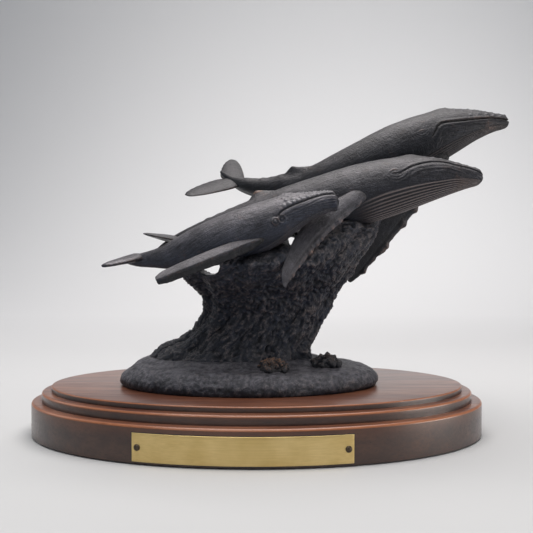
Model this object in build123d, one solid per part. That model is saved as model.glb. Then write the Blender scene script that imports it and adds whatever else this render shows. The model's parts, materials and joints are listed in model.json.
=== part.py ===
from build123d import *
from dataclasses import dataclass
import math
import os

# Three bronze humpback whales, a mother, an escort and a calf, swim over a reef. The reef stands on an oval
# stepped wooden plinth with a blank brass plate on its front and felt underneath.
# Millimetres, +Z up, +X the way the whales swim, -Y the front. The origin is on the table, under the
# middle of the plinth.

# Plinth: three stepped ovals turned from one board, with felt below
PLINTH_LENGTH = 305.0
PLINTH_DEPTH = 194.0
LOWER_TIER_HEIGHT = 22.1
MIDDLE_TIER_HEIGHT = 6.2
TOP_TIER_HEIGHT = 3.7
LOWER_LEDGE = 6.7
UPPER_LEDGE = 6.4
LEDGE_ROUND = 1.3
TOP_ROUND = 0.8
FELT_THICKNESS = 1.0
FELT_INSET = 4.0

# Brass plate, let into the front of the lower tier and held by two round-headed pins
PLATE_WIDTH = 127.8
PLATE_HEIGHT = 16.7
PLATE_THICKNESS = 1.2
PLATE_RECESS = 0.7
PLATE_GAP = 0.4
PLATE_OFFSET = -7.2
PLATE_LIFT = 1.0
PIN_HEAD_DIAMETER = 4.0
PIN_HEAD_HEIGHT = 1.3
PIN_DIAMETER = 1.6
PIN_LENGTH = 9.0
PIN_INSET = 3.2

# Screws that hold the bronze down, from under the felt
SCREW_SPACING = 90.0
SCREW_DIAMETER = 6.0
SCREW_HEAD_DIAMETER = 10.0
SCREW_HEAD_HEIGHT = 4.0
SCREW_BITE = 8.0
WASHER_DIAMETER = 14.0
WASHER_THICKNESS = 1.5
COUNTERBORE_DIAMETER = 16.0
COUNTERBORE_DEPTH = 8.0
BOSS_DIAMETER = 15.0

# Sandy mound, cast hollow
MOUND_LENGTH = 176.0
MOUND_DEPTH = 112.0
MOUND_HEIGHT = 14.0
MOUND_X = -5.5
MOUND_Y = -3.0
MOUND_WALL = 5.0
MOUND_CROWN = 0.85
SPIGOT_DIAMETER = 24.0
SPIGOT_HEIGHT = 3.0

# Reef column, with the hollow and the chink that let light through under the calf
REEF_ABOVE_MOTHER = 15.3
HOLLOW_RADIUS = 8.0
HOLLOW_X = -29.5
HOLLOW_BELOW_CALF = 17.0
CHINK_RADIUS = 4.0
CHINK_X = 25.0
CHINK_BELOW_CALF = 2.8

# Corals on the mound, beside the foot of the reef
CORAL_SIZE = 19.0
CORAL_HEIGHT = 9.5
CORAL_KNOB_DIAMETER = 9.0
CORAL_CORE_DIAMETER = 13.0
CORAL_KNOBS = 6
CORAL_FRONT_ANGLE = -67.0
CORAL_FRONT_STRETCH = 1.1
CORAL_RIGHT_ANGLE = -30.0
CORAL_RIGHT_STRETCH = 1.3

# Whales
ADULT_LENGTH = 212.0
ADULT_GIRTH = 40.0
CALF_LENGTH = 131.0
CALF_GIRTH = 31.0
MOTHER_RISE = 112.7
ESCORT_ABOVE_MOTHER = 31.3
CALF_BELOW_MOTHER = 26.2
MOTHER_FLIPPER_LENGTH = 86.0
ESCORT_FLIPPER_LENGTH = 113.0
CALF_FLIPPER_LENGTH = 69.0
MOTHER_FLIPPER_CHORD = 16.0
ESCORT_FLIPPER_CHORD = 23.0
CALF_FLIPPER_CHORD = 11.0
# How far each blade's middle is swept back as it widens: 0 for not at all, 1 for a straight leading edge
MOTHER_FLIPPER_SWEEP = 1.7
ESCORT_FLIPPER_SWEEP = 0.3
CALF_FLIPPER_SWEEP = 0.3
ADULT_FLUKE_SPAN = 68.0
CALF_FLUKE_SPAN = 44.0
SEAT_PIN_DIAMETER = 4.0
SEAT_PIN_GRIP = 9.0
SEAT_PIN_REACH = 13.0
TENON_DIAMETER = 2.8
TENON_DEPTH = 8.0

# Clearances
SLIDE_FIT = 0.05
HOLE_CLEARANCE = 0.25
CASTING_GAP = 0.3

# Levels that follow from the sizes above
WOOD_BOTTOM = FELT_THICKNESS
LOWER_TOP = WOOD_BOTTOM + LOWER_TIER_HEIGHT
MIDDLE_TOP = LOWER_TOP + MIDDLE_TIER_HEIGHT
WOOD_TOP = MIDDLE_TOP + TOP_TIER_HEIGHT
MOUND_TOP = WOOD_TOP + MOUND_HEIGHT
MOTHER_LEVEL = MOUND_TOP + MOTHER_RISE
ESCORT_LEVEL = MOTHER_LEVEL + ESCORT_ABOVE_MOTHER
CALF_LEVEL = MOTHER_LEVEL - CALF_BELOW_MOTHER
HOLLOW_LEVEL = CALF_LEVEL - HOLLOW_BELOW_CALF
CHINK_LEVEL = CALF_LEVEL - CHINK_BELOW_CALF
REEF_HEIGHT = MOTHER_RISE + REEF_ABOVE_MOTHER

# Mound: share of its height and share of its length and depth, foot first
MOUND_PROFILE = (
    (0.00, 0.975),
    (0.32, 1.000),
    (0.64, 0.970),
    (0.88, 0.915),
    (1.00, MOUND_CROWN),
)

# Reef column: share of its height, centre X and Y, half length, half depth and turn about Z, foot first
REEF_SECTIONS = (
    (0.00, -17.0, -1.0, 57.0, 31.0, 0.0),
    (0.04, -15.5, -1.0, 52.0, 29.0, 0.0),
    (0.09, -11.0, 0.0, 46.0, 26.0, 0.0),
    (0.18, 0.0, 0.0, 42.0, 24.0, 4.0),
    (0.27, 7.5, 0.0, 41.5, 24.0, 8.0),
    (0.37, 9.0, -4.0, 45.0, 27.0, 16.0),
    (0.45, 8.0, -11.0, 55.0, 34.0, 24.0),
    (0.53, 8.0, -15.0, 60.0, 39.0, 25.0),
    (0.63, 29.0, -6.0, 49.0, 36.0, 26.0),
    (0.74, 47.0, 7.0, 38.0, 31.0, 24.0),
    (0.87, 66.0, 19.0, 27.0, 24.0, 16.0),
    (1.00, 78.0, 26.0, 18.0, 16.0, 8.0),
)
REEF_LOBES = 11
REEF_LOBE_DEPTH = 0.050

# Body outline: station from tail to snout, then half width, height above and depth below the spine,
# each as a share of the girth
ADULT_OUTLINE = (
    (0.00, 0.060, 0.095, 0.090),
    (0.06, 0.085, 0.125, 0.115),
    (0.14, 0.130, 0.180, 0.165),
    (0.24, 0.215, 0.265, 0.260),
    (0.36, 0.330, 0.365, 0.385),
    (0.48, 0.410, 0.440, 0.475),
    (0.60, 0.450, 0.490, 0.525),
    (0.70, 0.440, 0.480, 0.480),
    (0.79, 0.395, 0.435, 0.400),
    (0.87, 0.325, 0.320, 0.305),
    (0.94, 0.240, 0.190, 0.205),
    (0.985, 0.160, 0.115, 0.130),
    (1.00, 0.105, 0.075, 0.080),
)
ESCORT_OUTLINE = ADULT_OUTLINE[:8] + (
    (0.79, 0.395, 0.435, 0.370),
    (0.87, 0.325, 0.320, 0.240),
    (0.94, 0.240, 0.190, 0.155),
    (0.985, 0.160, 0.110, 0.120),
    (1.00, 0.105, 0.080, 0.085),
)
CALF_OUTLINE = (
    (0.00, 0.095, 0.120, 0.170),
    (0.06, 0.120, 0.140, 0.220),
    (0.14, 0.180, 0.210, 0.320),
    (0.24, 0.270, 0.350, 0.410),
    (0.36, 0.370, 0.450, 0.460),
    (0.48, 0.430, 0.490, 0.500),
    (0.60, 0.440, 0.480, 0.510),
    (0.70, 0.420, 0.450, 0.440),
    (0.79, 0.380, 0.405, 0.310),
    (0.88, 0.320, 0.310, 0.225),
    (0.95, 0.260, 0.240, 0.185),
    (0.99, 0.220, 0.180, 0.185),
    (1.00, 0.160, 0.125, 0.135),
)

# Flipper outline: station from root to tip, then chord and half thickness as shares of the widest chord
FLIPPER_OUTLINE = (
    (0.00, 0.64, 0.170),
    (0.14, 0.79, 0.160),
    (0.30, 0.95, 0.140),
    (0.46, 1.00, 0.120),
    (0.66, 0.90, 0.100),
    (0.83, 0.66, 0.075),
    (0.95, 0.40, 0.050),
    (1.00, 0.16, 0.030),
)
CALF_FLIPPER_OUTLINE = (
    (0.00, 0.72, 0.170),
    (0.14, 0.88, 0.165),
    (0.30, 1.00, 0.150),
    (0.46, 1.00, 0.135),
    (0.66, 0.94, 0.120),
    (0.83, 0.84, 0.105),
    (0.95, 0.66, 0.085),
    (1.00, 0.40, 0.060),
)
FLIPPER_ROOT_DEPTH = 0.85

# Fluke outline: share of the half span, then sweep back, chord and half thickness as shares of the half span
FLUKE_OUTLINE = (
    (0.00, 0.10, 0.58, 0.085),
    (0.22, 0.21, 0.64, 0.070),
    (0.46, 0.34, 0.60, 0.055),
    (0.70, 0.47, 0.49, 0.042),
    (0.88, 0.56, 0.35, 0.030),
    (1.00, 0.62, 0.17, 0.018),
)

# Dorsal fin: share of the way from its foot inside the back to its tip, then half length and half
# thickness as shares of its size; its tip's height and lean are shares of its size too
FIN_OUTLINE = (
    (0.0, 0.98, 0.28),
    (0.6, 0.80, 0.24),
    (1.0, 0.45, 0.14),
)
FIN_HEIGHT = 0.58
FIN_LEAN = 0.40
FIN_FOOT_DEPTH = 0.80


@dataclass
class Flipper:
    """A flipper: root station and angle on the body, the way it points, the way its face looks, its sizes."""
    station: float
    angle: float
    points: tuple
    faces: tuple
    length: float
    chord: float
    sweep: float
    outline: tuple = FLIPPER_OUTLINE


@dataclass
class Whale:
    """A whale: its sizes, the place of its seat station, and its pitch, yaw and roll along the spine."""
    length: float
    girth: float
    outline: tuple
    seat_station: float
    seat: tuple
    pitch: tuple
    yaw: tuple
    roll: tuple
    fluke_span: float
    fluke_sweep: float
    fluke_pitch: float
    fluke_roll: float
    fluke_droop: float
    fin_station: float
    fin_size: float
    pin_stations: tuple
    right_flipper: Flipper
    left_flipper: Flipper


MOTHER = Whale(
    length=ADULT_LENGTH, girth=ADULT_GIRTH, outline=ADULT_OUTLINE,
    seat_station=0.55, seat=(59.0, -10.0, MOTHER_LEVEL),
    pitch=(25.0, 12.0, 12.0, -4.0), yaw=(0.0, 0.0), roll=(0.0, 0.0),
    fluke_span=ADULT_FLUKE_SPAN, fluke_sweep=0.66, fluke_pitch=-12.0, fluke_roll=0.0, fluke_droop=0.0,
    fin_station=0.29, fin_size=0.17, pin_stations=(0.46, 0.56),
    right_flipper=Flipper(0.600, 183.0, (-56.5, -33, -55), (0.25, -0.85, 0.45),
                          MOTHER_FLIPPER_LENGTH, MOTHER_FLIPPER_CHORD, MOTHER_FLIPPER_SWEEP),
    left_flipper=Flipper(0.600, -3.0, (-40, 46, -46), (-0.25, -0.70, -0.60),
                         MOTHER_FLIPPER_LENGTH, MOTHER_FLIPPER_CHORD, MOTHER_FLIPPER_SWEEP),
)
ESCORT = Whale(
    length=ADULT_LENGTH, girth=ADULT_GIRTH, outline=ESCORT_OUTLINE,
    seat_station=0.55, seat=(91.0, 27.0, ESCORT_LEVEL),
    pitch=(-26.0, 17.0, 20.0, 9.0), yaw=(-24.0, 10.0), roll=(27.0, 3.0),
    fluke_span=ADULT_FLUKE_SPAN, fluke_sweep=1.0, fluke_pitch=-14.0, fluke_roll=29.0, fluke_droop=0.0,
    fin_station=0.25, fin_size=0.19, pin_stations=(0.49, 0.56),
    right_flipper=Flipper(0.735, 225.0, (-67, 4, -90), (0.30, -0.90, 0.10),
                          ESCORT_FLIPPER_LENGTH, ESCORT_FLIPPER_CHORD, ESCORT_FLIPPER_SWEEP),
    left_flipper=Flipper(0.680, -20.0, (-45, 40, -45), (-0.25, -0.70, -0.60),
                         ESCORT_FLIPPER_LENGTH, ESCORT_FLIPPER_CHORD, ESCORT_FLIPPER_SWEEP),
)
CALF = Whale(
    length=CALF_LENGTH, girth=CALF_GIRTH, outline=CALF_OUTLINE,
    seat_station=0.50, seat=(-10.5, -48.0, CALF_LEVEL),
    pitch=(8.8, 15.6, 21.0, 12.0), yaw=(-12.0, 4.0), roll=(9.0, 0.0),
    fluke_span=CALF_FLUKE_SPAN, fluke_sweep=1.12, fluke_pitch=2.0, fluke_roll=6.0, fluke_droop=0.10,
    fin_station=0.30, fin_size=0.0, pin_stations=(0.45, 0.60),
    right_flipper=Flipper(0.600, 209.0, (-57, -15, -22.5), (-0.15, -0.75, 0.65),
                          CALF_FLIPPER_LENGTH, CALF_FLIPPER_CHORD, CALF_FLIPPER_SWEEP,
                          CALF_FLIPPER_OUTLINE),
    left_flipper=Flipper(0.600, -32.0, (-50, 20, -15), (0.15, -0.45, -0.88),
                         CALF_FLIPPER_LENGTH, CALF_FLIPPER_CHORD, CALF_FLIPPER_SWEEP,
                         CALF_FLIPPER_OUTLINE),
)
WHALES = {"mother": MOTHER, "escort": ESCORT, "calf": CALF}
SPINE_STEPS = 60


def through_four(values, t):
    """The smooth curve through four values spaced evenly from tail to snout."""
    total = 0.0
    for i, value in enumerate(values):
        weight = 1.0
        for j in range(4):
            if j != i:
                weight *= (t * 3 - j) / (i - j)
        total += value * weight
    return total


def axes(pitch, yaw, roll):
    """Forward, left and up for a body pitched, turned and rolled by these degrees."""
    p = math.radians(pitch)
    a = math.radians(yaw)
    r = math.radians(roll)
    forward = Vector(math.cos(p) * math.cos(a), math.cos(p) * math.sin(a), math.sin(p))
    level = Vector(-math.sin(a), math.cos(a), 0)
    lift = forward.cross(level)
    left = level * math.cos(r) + lift * math.sin(r)
    up = lift * math.cos(r) - level * math.sin(r)
    return forward, left, up


def mix(ends, t):
    """The value part of the way from tail to snout."""
    return ends[0] + (ends[1] - ends[0]) * t


def spine_axes(whale, t):
    """Forward, left and up at a station of the spine."""
    return axes(through_four(whale.pitch, t), mix(whale.yaw, t), mix(whale.roll, t))


def spine_point(whale, t):
    """The spine's place at a station, measured along it from the seat."""
    point = Vector(*whale.seat)
    step = (t - whale.seat_station) / SPINE_STEPS
    for i in range(SPINE_STEPS):
        middle = whale.seat_station + step * (i + 0.5)
        point += spine_axes(whale, middle)[0] * (step * whale.length)
    return point


def girth_at(whale, t):
    """Half width, height above and depth below the spine at a station."""
    rows = whale.outline
    for near, far in zip(rows, rows[1:]):
        if t <= far[0]:
            share = (t - near[0]) / (far[0] - near[0])
            return [mix((near[k], far[k]), share) * whale.girth for k in (1, 2, 3)]
    return [rows[-1][k] * whale.girth for k in (1, 2, 3)]


def body_spot(whale, t, angle, depth=1.0):
    """A place on the body at a station and an angle from its left side, at a share of the way out."""
    width, above, below = girth_at(whale, t)
    forward, left, up = spine_axes(whale, t)
    turn = math.radians(angle)
    height = above if math.sin(turn) > 0 else below
    return spine_point(whale, t) + (left * (width * math.cos(turn)) + up * (height * math.sin(turn))) * depth


def oval_face(plane, half_width, above, below):
    """An egg-shaped section of four quarter arcs, with its own height above and below the plane's X axis."""
    arcs = []
    for quarter in range(4):
        height = above if quarter < 2 else below
        arcs.append(plane * EllipticalCenterArc((0, 0), half_width, height, 90 * quarter, arc_size=90))
    return make_face(arcs)


def smooth_body(whale, grow=0.0):
    """The body's skin, lofted through its stations, pushed out by grow."""
    sections = []
    for t, *_ in whale.outline:
        forward, left, up = spine_axes(whale, t)
        plane = Plane(origin=spine_point(whale, t), x_dir=left, z_dir=forward)
        sections.append(oval_face(plane, *[size + grow for size in girth_at(whale, t)]))
    return loft(sections)


def rod(start, end, diameter):
    """A round bar between two places."""
    axis = end - start
    bar = Cylinder(diameter / 2, axis.length, align=(Align.CENTER, Align.CENTER, Align.MIN))
    return Plane(origin=start, z_dir=axis) * bar


def blade_axes(whale, flipper):
    """The root of a flipper just under the skin, the way it points and the way its leading edge lies."""
    root = body_spot(whale, flipper.station, flipper.angle, FLIPPER_ROOT_DEPTH)
    along = Vector(*flipper.points).normalized()
    leading = Vector(*flipper.faces).cross(along).normalized()
    return root, along, leading


def blade(whale, flipper, grow=0.0):
    """A flipper's blade from just inside the body to its tip, pushed out by grow."""
    root, along, leading = blade_axes(whale, flipper)
    root_chord = flipper.outline[0][1]
    sections = []
    for station, chord, thickness in flipper.outline:
        back = flipper.sweep * (chord - root_chord) / 2 * flipper.chord
        middle = root + along * (station * flipper.length) - leading * back
        plane = Plane(origin=middle, x_dir=leading, z_dir=along)
        half_thickness = thickness * flipper.chord + grow
        sections.append(oval_face(plane, chord * flipper.chord / 2 + grow, half_thickness, half_thickness))
    return loft(sections)


def blade_exit(whale, flipper):
    """The place where a flipper's axis comes out of the skin, and the way in from there to the spine."""
    root, along, leading = blade_axes(whale, flipper)
    reach = 0.0
    while True:
        place = root + along * reach
        station = flipper.station + along.dot(spine_axes(whale, flipper.station)[0]) * reach / whale.length
        width, above, below = girth_at(whale, station)
        forward, left, up = spine_axes(whale, station)
        offset = place - spine_point(whale, station)
        height = above if offset.dot(up) > 0 else below
        if (offset.dot(left) / width) ** 2 + (offset.dot(up) / height) ** 2 > 1:
            return place, (offset * -1).normalized()
        reach += TENON_DIAMETER / 8


def flipper_tenon(whale, flipper, clearance=0.0):
    """The round tenon that carries a flipper in its body's socket."""
    place, inward = blade_exit(whale, flipper)
    along = blade_axes(whale, flipper)[1]
    outer = place + along * (TENON_DIAMETER / 2)
    return rod(outer, place + inward * (TENON_DEPTH + clearance), TENON_DIAMETER + 2 * clearance)


def fluke_axes(whale):
    """Forward, left and up of the flukes, which lie flatter than the tail stock."""
    return axes(whale.fluke_pitch, whale.yaw[0], whale.fluke_roll)


def fluke_blade(whale):
    """Both flukes as one loft from tip to tip."""
    forward, left, up = fluke_axes(whale)
    half = whale.fluke_span / 2
    root = spine_point(whale, 0.0)
    rows = [(-row[0], *row[1:]) for row in reversed(FLUKE_OUTLINE[1:])] + list(FLUKE_OUTLINE)
    sections = []
    for share, sweep, chord, thick in rows:
        rise = whale.fluke_droop * (1 / 2 - abs(share))
        middle = root + (left * share - forward * (sweep * whale.fluke_sweep) + up * rise) * half
        plane = Plane(origin=middle, x_dir=forward, z_dir=left)
        sections.append(oval_face(plane, chord / 2 * half, thick * half, thick * half))
    return loft(sections)


def fluke_tenon(whale, clearance=0.0):
    """The round tenon that carries the flukes in the end of the tail stock."""
    root = spine_point(whale, 0.0)
    stock = spine_axes(whale, 0.0)[0]
    return rod(root - stock * (TENON_DEPTH / 2), root + stock * (TENON_DEPTH + clearance),
               TENON_DIAMETER + 2 * clearance)


def dorsal_fin(whale):
    """The low dorsal fin, leaning back, with its foot inside the back."""
    size = whale.fin_size * whale.girth
    forward, left, up = spine_axes(whale, whale.fin_station)
    foot = body_spot(whale, whale.fin_station, 90.0, FIN_FOOT_DEPTH)
    tip = body_spot(whale, whale.fin_station, 90.0) + up * (size * FIN_HEIGHT) - forward * (size * FIN_LEAN)
    sections = []
    for share, length, thickness in FIN_OUTLINE:
        plane = Plane(origin=foot + (tip - foot) * share, x_dir=forward, z_dir=up)
        sections.append(plane * Ellipse(length * size, thickness * size))
    return loft(sections)


def seat_pins(whale, clearance=0.0):
    """The straight pins that carry a whale on the reef."""
    pins = []
    for station in whale.pin_stations:
        belly = body_spot(whale, station, -90.0)
        top = belly + Vector(0, 0, SEAT_PIN_GRIP + clearance)
        bottom = belly - Vector(0, 0, SEAT_PIN_REACH + clearance)
        pins.append(rod(bottom, top, SEAT_PIN_DIAMETER + 2 * clearance))
    return pins


def whale_body(whale):
    """One body with its fin and the sockets for flippers, flukes and seat pins."""
    body = smooth_body(whale)
    if whale.fin_size > 0:
        body += dorsal_fin(whale)
    for flipper in (whale.right_flipper, whale.left_flipper):
        body -= flipper_tenon(whale, flipper, SLIDE_FIT)
    body -= fluke_tenon(whale, SLIDE_FIT)
    for pin in seat_pins(whale, SLIDE_FIT):
        body -= pin
    return body


def flipper_piece(whale, flipper, near_body):
    """One flipper: its blade outside the body, and its tenon."""
    outside = (blade(whale, flipper) - near_body).solids().sort_by(SortBy.VOLUME)[-1]
    return outside + flipper_tenon(whale, flipper)


def fluke_piece(whale, near_body):
    """One pair of flukes, fitted round the end of the tail stock."""
    return (fluke_blade(whale) - near_body) + fluke_tenon(whale)


def reef_skin():
    """The lobed reef before it is cut to fit the whales."""
    sections = []
    for level, x, y, half_length, half_depth, turn in REEF_SECTIONS:
        points = []
        for i in range(2 * REEF_LOBES + 1):
            angle = math.pi * i / REEF_LOBES
            swell = 1 + REEF_LOBE_DEPTH * (1 if i % 2 else -1)
            points.append((half_length * swell * math.cos(angle), half_depth * swell * math.sin(angle)))
        place = Pos(x, y, MOUND_TOP + level * REEF_HEIGHT) * Rot(0, 0, turn)
        arcs = [place * ThreePointArc(*points[2 * i:2 * i + 3]) for i in range(REEF_LOBES)]
        sections.append(make_face(arcs))
    return loft(sections, ruled=True)


def oval(length, depth, bottom, top):
    """An upright oval block on the plinth's axis."""
    return Pos(0, 0, bottom) * extrude(Ellipse(length / 2, depth / 2), top - bottom)


def drill(x, y, bottom, top, diameter):
    """An upright round bar, used as a shaft or to cut a hole."""
    bar = Cylinder(diameter / 2, top - bottom, align=(Align.CENTER, Align.CENTER, Align.MIN))
    return Pos(x, y, bottom) * bar


def rounded_tier(length, depth, bottom, top, radius):
    """One tier of the plinth with its upper edge rounded over."""
    tier = oval(length, depth, bottom, top)
    return fillet(tier.edges().group_by(Axis.Z)[-1], radius)


def plate_window(gap):
    """The block that bounds the plate's outline on the front, with a gap all round."""
    width = PLATE_WIDTH + 2 * gap
    height = PLATE_HEIGHT + 2 * gap
    block = Box(width, PLINTH_DEPTH, height, align=(Align.CENTER, Align.MAX, Align.MIN))
    return Pos(PLATE_OFFSET, 0, WOOD_BOTTOM + PLATE_LIFT - gap) * block


def plate_pin_frame(side):
    """The place and outward direction of a plate pin, on the plate's outer face."""
    half_length = PLINTH_LENGTH / 2 - PLATE_RECESS + PLATE_THICKNESS
    half_depth = PLINTH_DEPTH / 2 - PLATE_RECESS + PLATE_THICKNESS
    x = PLATE_OFFSET + side * (PLATE_WIDTH / 2 - PIN_INSET)
    y = -half_depth * math.sqrt(1 - (x / half_length) ** 2)
    outward = Vector(x / half_length ** 2, y / half_depth ** 2, 0).normalized()
    return Vector(x, y, WOOD_BOTTOM + PLATE_LIFT + PLATE_HEIGHT / 2), outward


def plate_pin(side):
    """A round-headed pin that holds one end of the plate."""
    place, outward = plate_pin_frame(side)
    face = Plane(origin=place, z_dir=outward)
    head_radius = PIN_HEAD_DIAMETER / 2
    ball = (head_radius ** 2 + PIN_HEAD_HEIGHT ** 2) / (2 * PIN_HEAD_HEIGHT)
    dome = Pos(0, 0, PIN_HEAD_HEIGHT - ball) * Sphere(ball)
    above = Box(4 * ball, 4 * ball, 2 * ball, align=(Align.CENTER, Align.CENTER, Align.MIN))
    return face * (dome & above) + rod(place - outward * PIN_LENGTH, place, PIN_DIAMETER)


def plate_pin_hole(side):
    """The hole for a plate pin, through the plate and into the wood."""
    place, outward = plate_pin_frame(side)
    return rod(place - outward * (PIN_LENGTH + SLIDE_FIT), place + outward, PIN_DIAMETER + 2 * SLIDE_FIT)


def plate():
    """The curved brass plate."""
    length = PLINTH_LENGTH - 2 * PLATE_RECESS
    depth = PLINTH_DEPTH - 2 * PLATE_RECESS
    ring = oval(length + 2 * PLATE_THICKNESS, depth + 2 * PLATE_THICKNESS, 0, LOWER_TOP)
    ring -= oval(length, depth, 0, LOWER_TOP)
    piece = ring & plate_window(0.0)
    for side in (-1, 1):
        piece -= plate_pin_hole(side)
    return piece


SCREW_SEAT = WOOD_BOTTOM + COUNTERBORE_DEPTH
SCREW_PLACES = (MOUND_X - SCREW_SPACING / 2, MOUND_X + SCREW_SPACING / 2)


def plinth():
    """The stepped plinth, with the plate's recess and the counterbored screw holes."""
    wood = rounded_tier(PLINTH_LENGTH, PLINTH_DEPTH, WOOD_BOTTOM, LOWER_TOP, LEDGE_ROUND)
    length = PLINTH_LENGTH - 2 * LOWER_LEDGE
    depth = PLINTH_DEPTH - 2 * LOWER_LEDGE
    wood += rounded_tier(length, depth, WOOD_BOTTOM, MIDDLE_TOP, LEDGE_ROUND)
    wood += rounded_tier(length - 2 * UPPER_LEDGE, depth - 2 * UPPER_LEDGE, WOOD_BOTTOM, WOOD_TOP, TOP_ROUND)
    core = oval(PLINTH_LENGTH - 2 * PLATE_RECESS, PLINTH_DEPTH - 2 * PLATE_RECESS, 0, LOWER_TOP)
    wood -= plate_window(PLATE_GAP) - core
    for side in (-1, 1):
        wood -= plate_pin_hole(side)
    for x in SCREW_PLACES:
        wood -= drill(x, MOUND_Y, WOOD_BOTTOM, SCREW_SEAT, COUNTERBORE_DIAMETER)
        wood -= drill(x, MOUND_Y, WOOD_BOTTOM, WOOD_TOP, SCREW_DIAMETER + 2 * HOLE_CLEARANCE)
    return wood


def screws():
    """The two screws, head down, through washer and wood into the mound's bosses."""
    under_head = SCREW_SEAT - WASHER_THICKNESS
    group = []
    for x in SCREW_PLACES:
        head = drill(x, MOUND_Y, under_head - SCREW_HEAD_HEIGHT, under_head, SCREW_HEAD_DIAMETER)
        group.append(head + drill(x, MOUND_Y, under_head, WOOD_TOP + SCREW_BITE, SCREW_DIAMETER))
    return group


def washers():
    """The two washers under the screw heads."""
    group = []
    for x in SCREW_PLACES:
        disc = drill(x, MOUND_Y, SCREW_SEAT - WASHER_THICKNESS, SCREW_SEAT, WASHER_DIAMETER)
        bore = drill(x, MOUND_Y, WOOD_BOTTOM, WOOD_TOP, SCREW_DIAMETER + 2 * HOLE_CLEARANCE)
        group.append(disc - bore)
    return group


def reef_foot_centre():
    """The middle of the reef's foot on the mound."""
    return REEF_SECTIONS[0][1], REEF_SECTIONS[0][2]


def mound():
    """The sandy mound: a rounded shell with bosses for the screws and a socket for the reef's spigot."""
    sections = []
    for level, share in MOUND_PROFILE:
        place = Pos(MOUND_X, MOUND_Y, WOOD_TOP + level * MOUND_HEIGHT)
        sections.append(place * Ellipse(share * MOUND_LENGTH / 2, share * MOUND_DEPTH / 2))
    skin = loft(sections)
    roof = WOOD_TOP + MOUND_HEIGHT - MOUND_WALL
    inner_length = MOUND_CROWN * MOUND_LENGTH - 2 * MOUND_WALL
    inner_depth = MOUND_CROWN * MOUND_DEPTH - 2 * MOUND_WALL
    shell = skin - Pos(MOUND_X, MOUND_Y, 0) * oval(inner_length, inner_depth, WOOD_TOP, roof)
    for x in SCREW_PLACES:
        shell += drill(x, MOUND_Y, WOOD_TOP, roof, BOSS_DIAMETER)
        thread_end = WOOD_TOP + SCREW_BITE + HOLE_CLEARANCE
        shell -= drill(x, MOUND_Y, WOOD_TOP, thread_end, SCREW_DIAMETER + 2 * SLIDE_FIT)
    x, y = reef_foot_centre()
    socket_floor = MOUND_TOP - SPIGOT_HEIGHT - HOLE_CLEARANCE
    shell -= drill(x, y, socket_floor, MOUND_TOP, SPIGOT_DIAMETER + 2 * SLIDE_FIT)
    return shell


def coral(angle, stretch):
    """A cluster of coral knobs on the mound, just clear of the reef's foot at this angle round it."""
    level, x, y, half_length, half_depth, turn = REEF_SECTIONS[0]
    spread = 1 + REEF_LOBE_DEPTH
    half_size = CORAL_SIZE / 2
    x += (half_length * spread + half_size * stretch) * math.cos(math.radians(angle))
    y += (half_depth * spread + half_size) * math.sin(math.radians(angle))
    knob = CORAL_KNOB_DIAMETER / 2
    cluster = Pos(x, y, MOUND_TOP) * Sphere(CORAL_CORE_DIAMETER / 2)
    for i in range(CORAL_KNOBS):
        around = 2 * math.pi * i / CORAL_KNOBS + math.radians(angle)
        knob_x = x + stretch * (half_size - knob) * math.cos(around)
        knob_y = y + (half_size - knob) * math.sin(around)
        lift = (CORAL_HEIGHT - knob) * (1.0 if i % 2 else 0.5)
        cluster += Pos(knob_x, knob_y, MOUND_TOP + lift) * Sphere(knob)
    room = 4 * CORAL_SIZE
    above = Pos(x, y, MOUND_TOP) * Box(room, room, room, align=(Align.CENTER, Align.CENTER, Align.MIN))
    return cluster & above


def reef():
    """The reef column, with its spigot below and the seats of the whales cut into its top."""
    column = reef_skin()
    for whale in WHALES.values():
        column -= smooth_body(whale, CASTING_GAP)
        for flipper in (whale.right_flipper, whale.left_flipper):
            column -= blade(whale, flipper, CASTING_GAP)
        for pin in seat_pins(whale, SLIDE_FIT):
            column -= pin
    for x, level, radius in ((HOLLOW_X, HOLLOW_LEVEL, HOLLOW_RADIUS), (CHINK_X, CHINK_LEVEL, CHINK_RADIUS)):
        column -= Pos(x, MOUND_Y, level) * Cylinder(radius, MOUND_DEPTH, rotation=(90, 0, 0))
    x, y = reef_foot_centre()
    return column + drill(x, y, MOUND_TOP - SPIGOT_HEIGHT, MOUND_TOP, SPIGOT_DIAMETER)


def as_group(pieces):
    """Separate solids gathered under one name."""
    return Compound(children=[piece.solid() for piece in pieces])


def parts():
    """Every piece of the figurine by name."""
    made = {
        "plinth": plinth(),
        "felt_pad": oval(PLINTH_LENGTH - 2 * FELT_INSET, PLINTH_DEPTH - 2 * FELT_INSET, 0, FELT_THICKNESS),
        "plaque": plate(),
        "plaque_pins": as_group([plate_pin(side) for side in (-1, 1)]),
        "mounting_screws": as_group(screws()),
        "mounting_washers": as_group(washers()),
        "reef_mound": mound(),
        "reef_column": reef(),
        "coral_cluster_front": coral(CORAL_FRONT_ANGLE, CORAL_FRONT_STRETCH),
        "coral_cluster_right": coral(CORAL_RIGHT_ANGLE, CORAL_RIGHT_STRETCH),
    }
    for name, whale in WHALES.items():
        near_body = smooth_body(whale, CASTING_GAP / 2)
        made[name + "_body"] = whale_body(whale)
        made[name + "_right_flipper"] = flipper_piece(whale, whale.right_flipper, near_body)
        made[name + "_left_flipper"] = flipper_piece(whale, whale.left_flipper, near_body)
        made[name + "_flukes"] = fluke_piece(whale, near_body)
        made[name + "_seat_pins"] = as_group(seat_pins(whale))
    return made


os.makedirs("parts", exist_ok=True)
for node, shape in parts().items():
    export_step(shape, f"parts/{node}.step")
    box = shape.bounding_box()
    print(f"{node}: {len(shape.solids())} solid(s), {shape.volume / 1000:.2f} cm3, "
          f"{box.size.X:.1f} x {box.size.Y:.1f} x {box.size.Z:.1f} mm")
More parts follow.
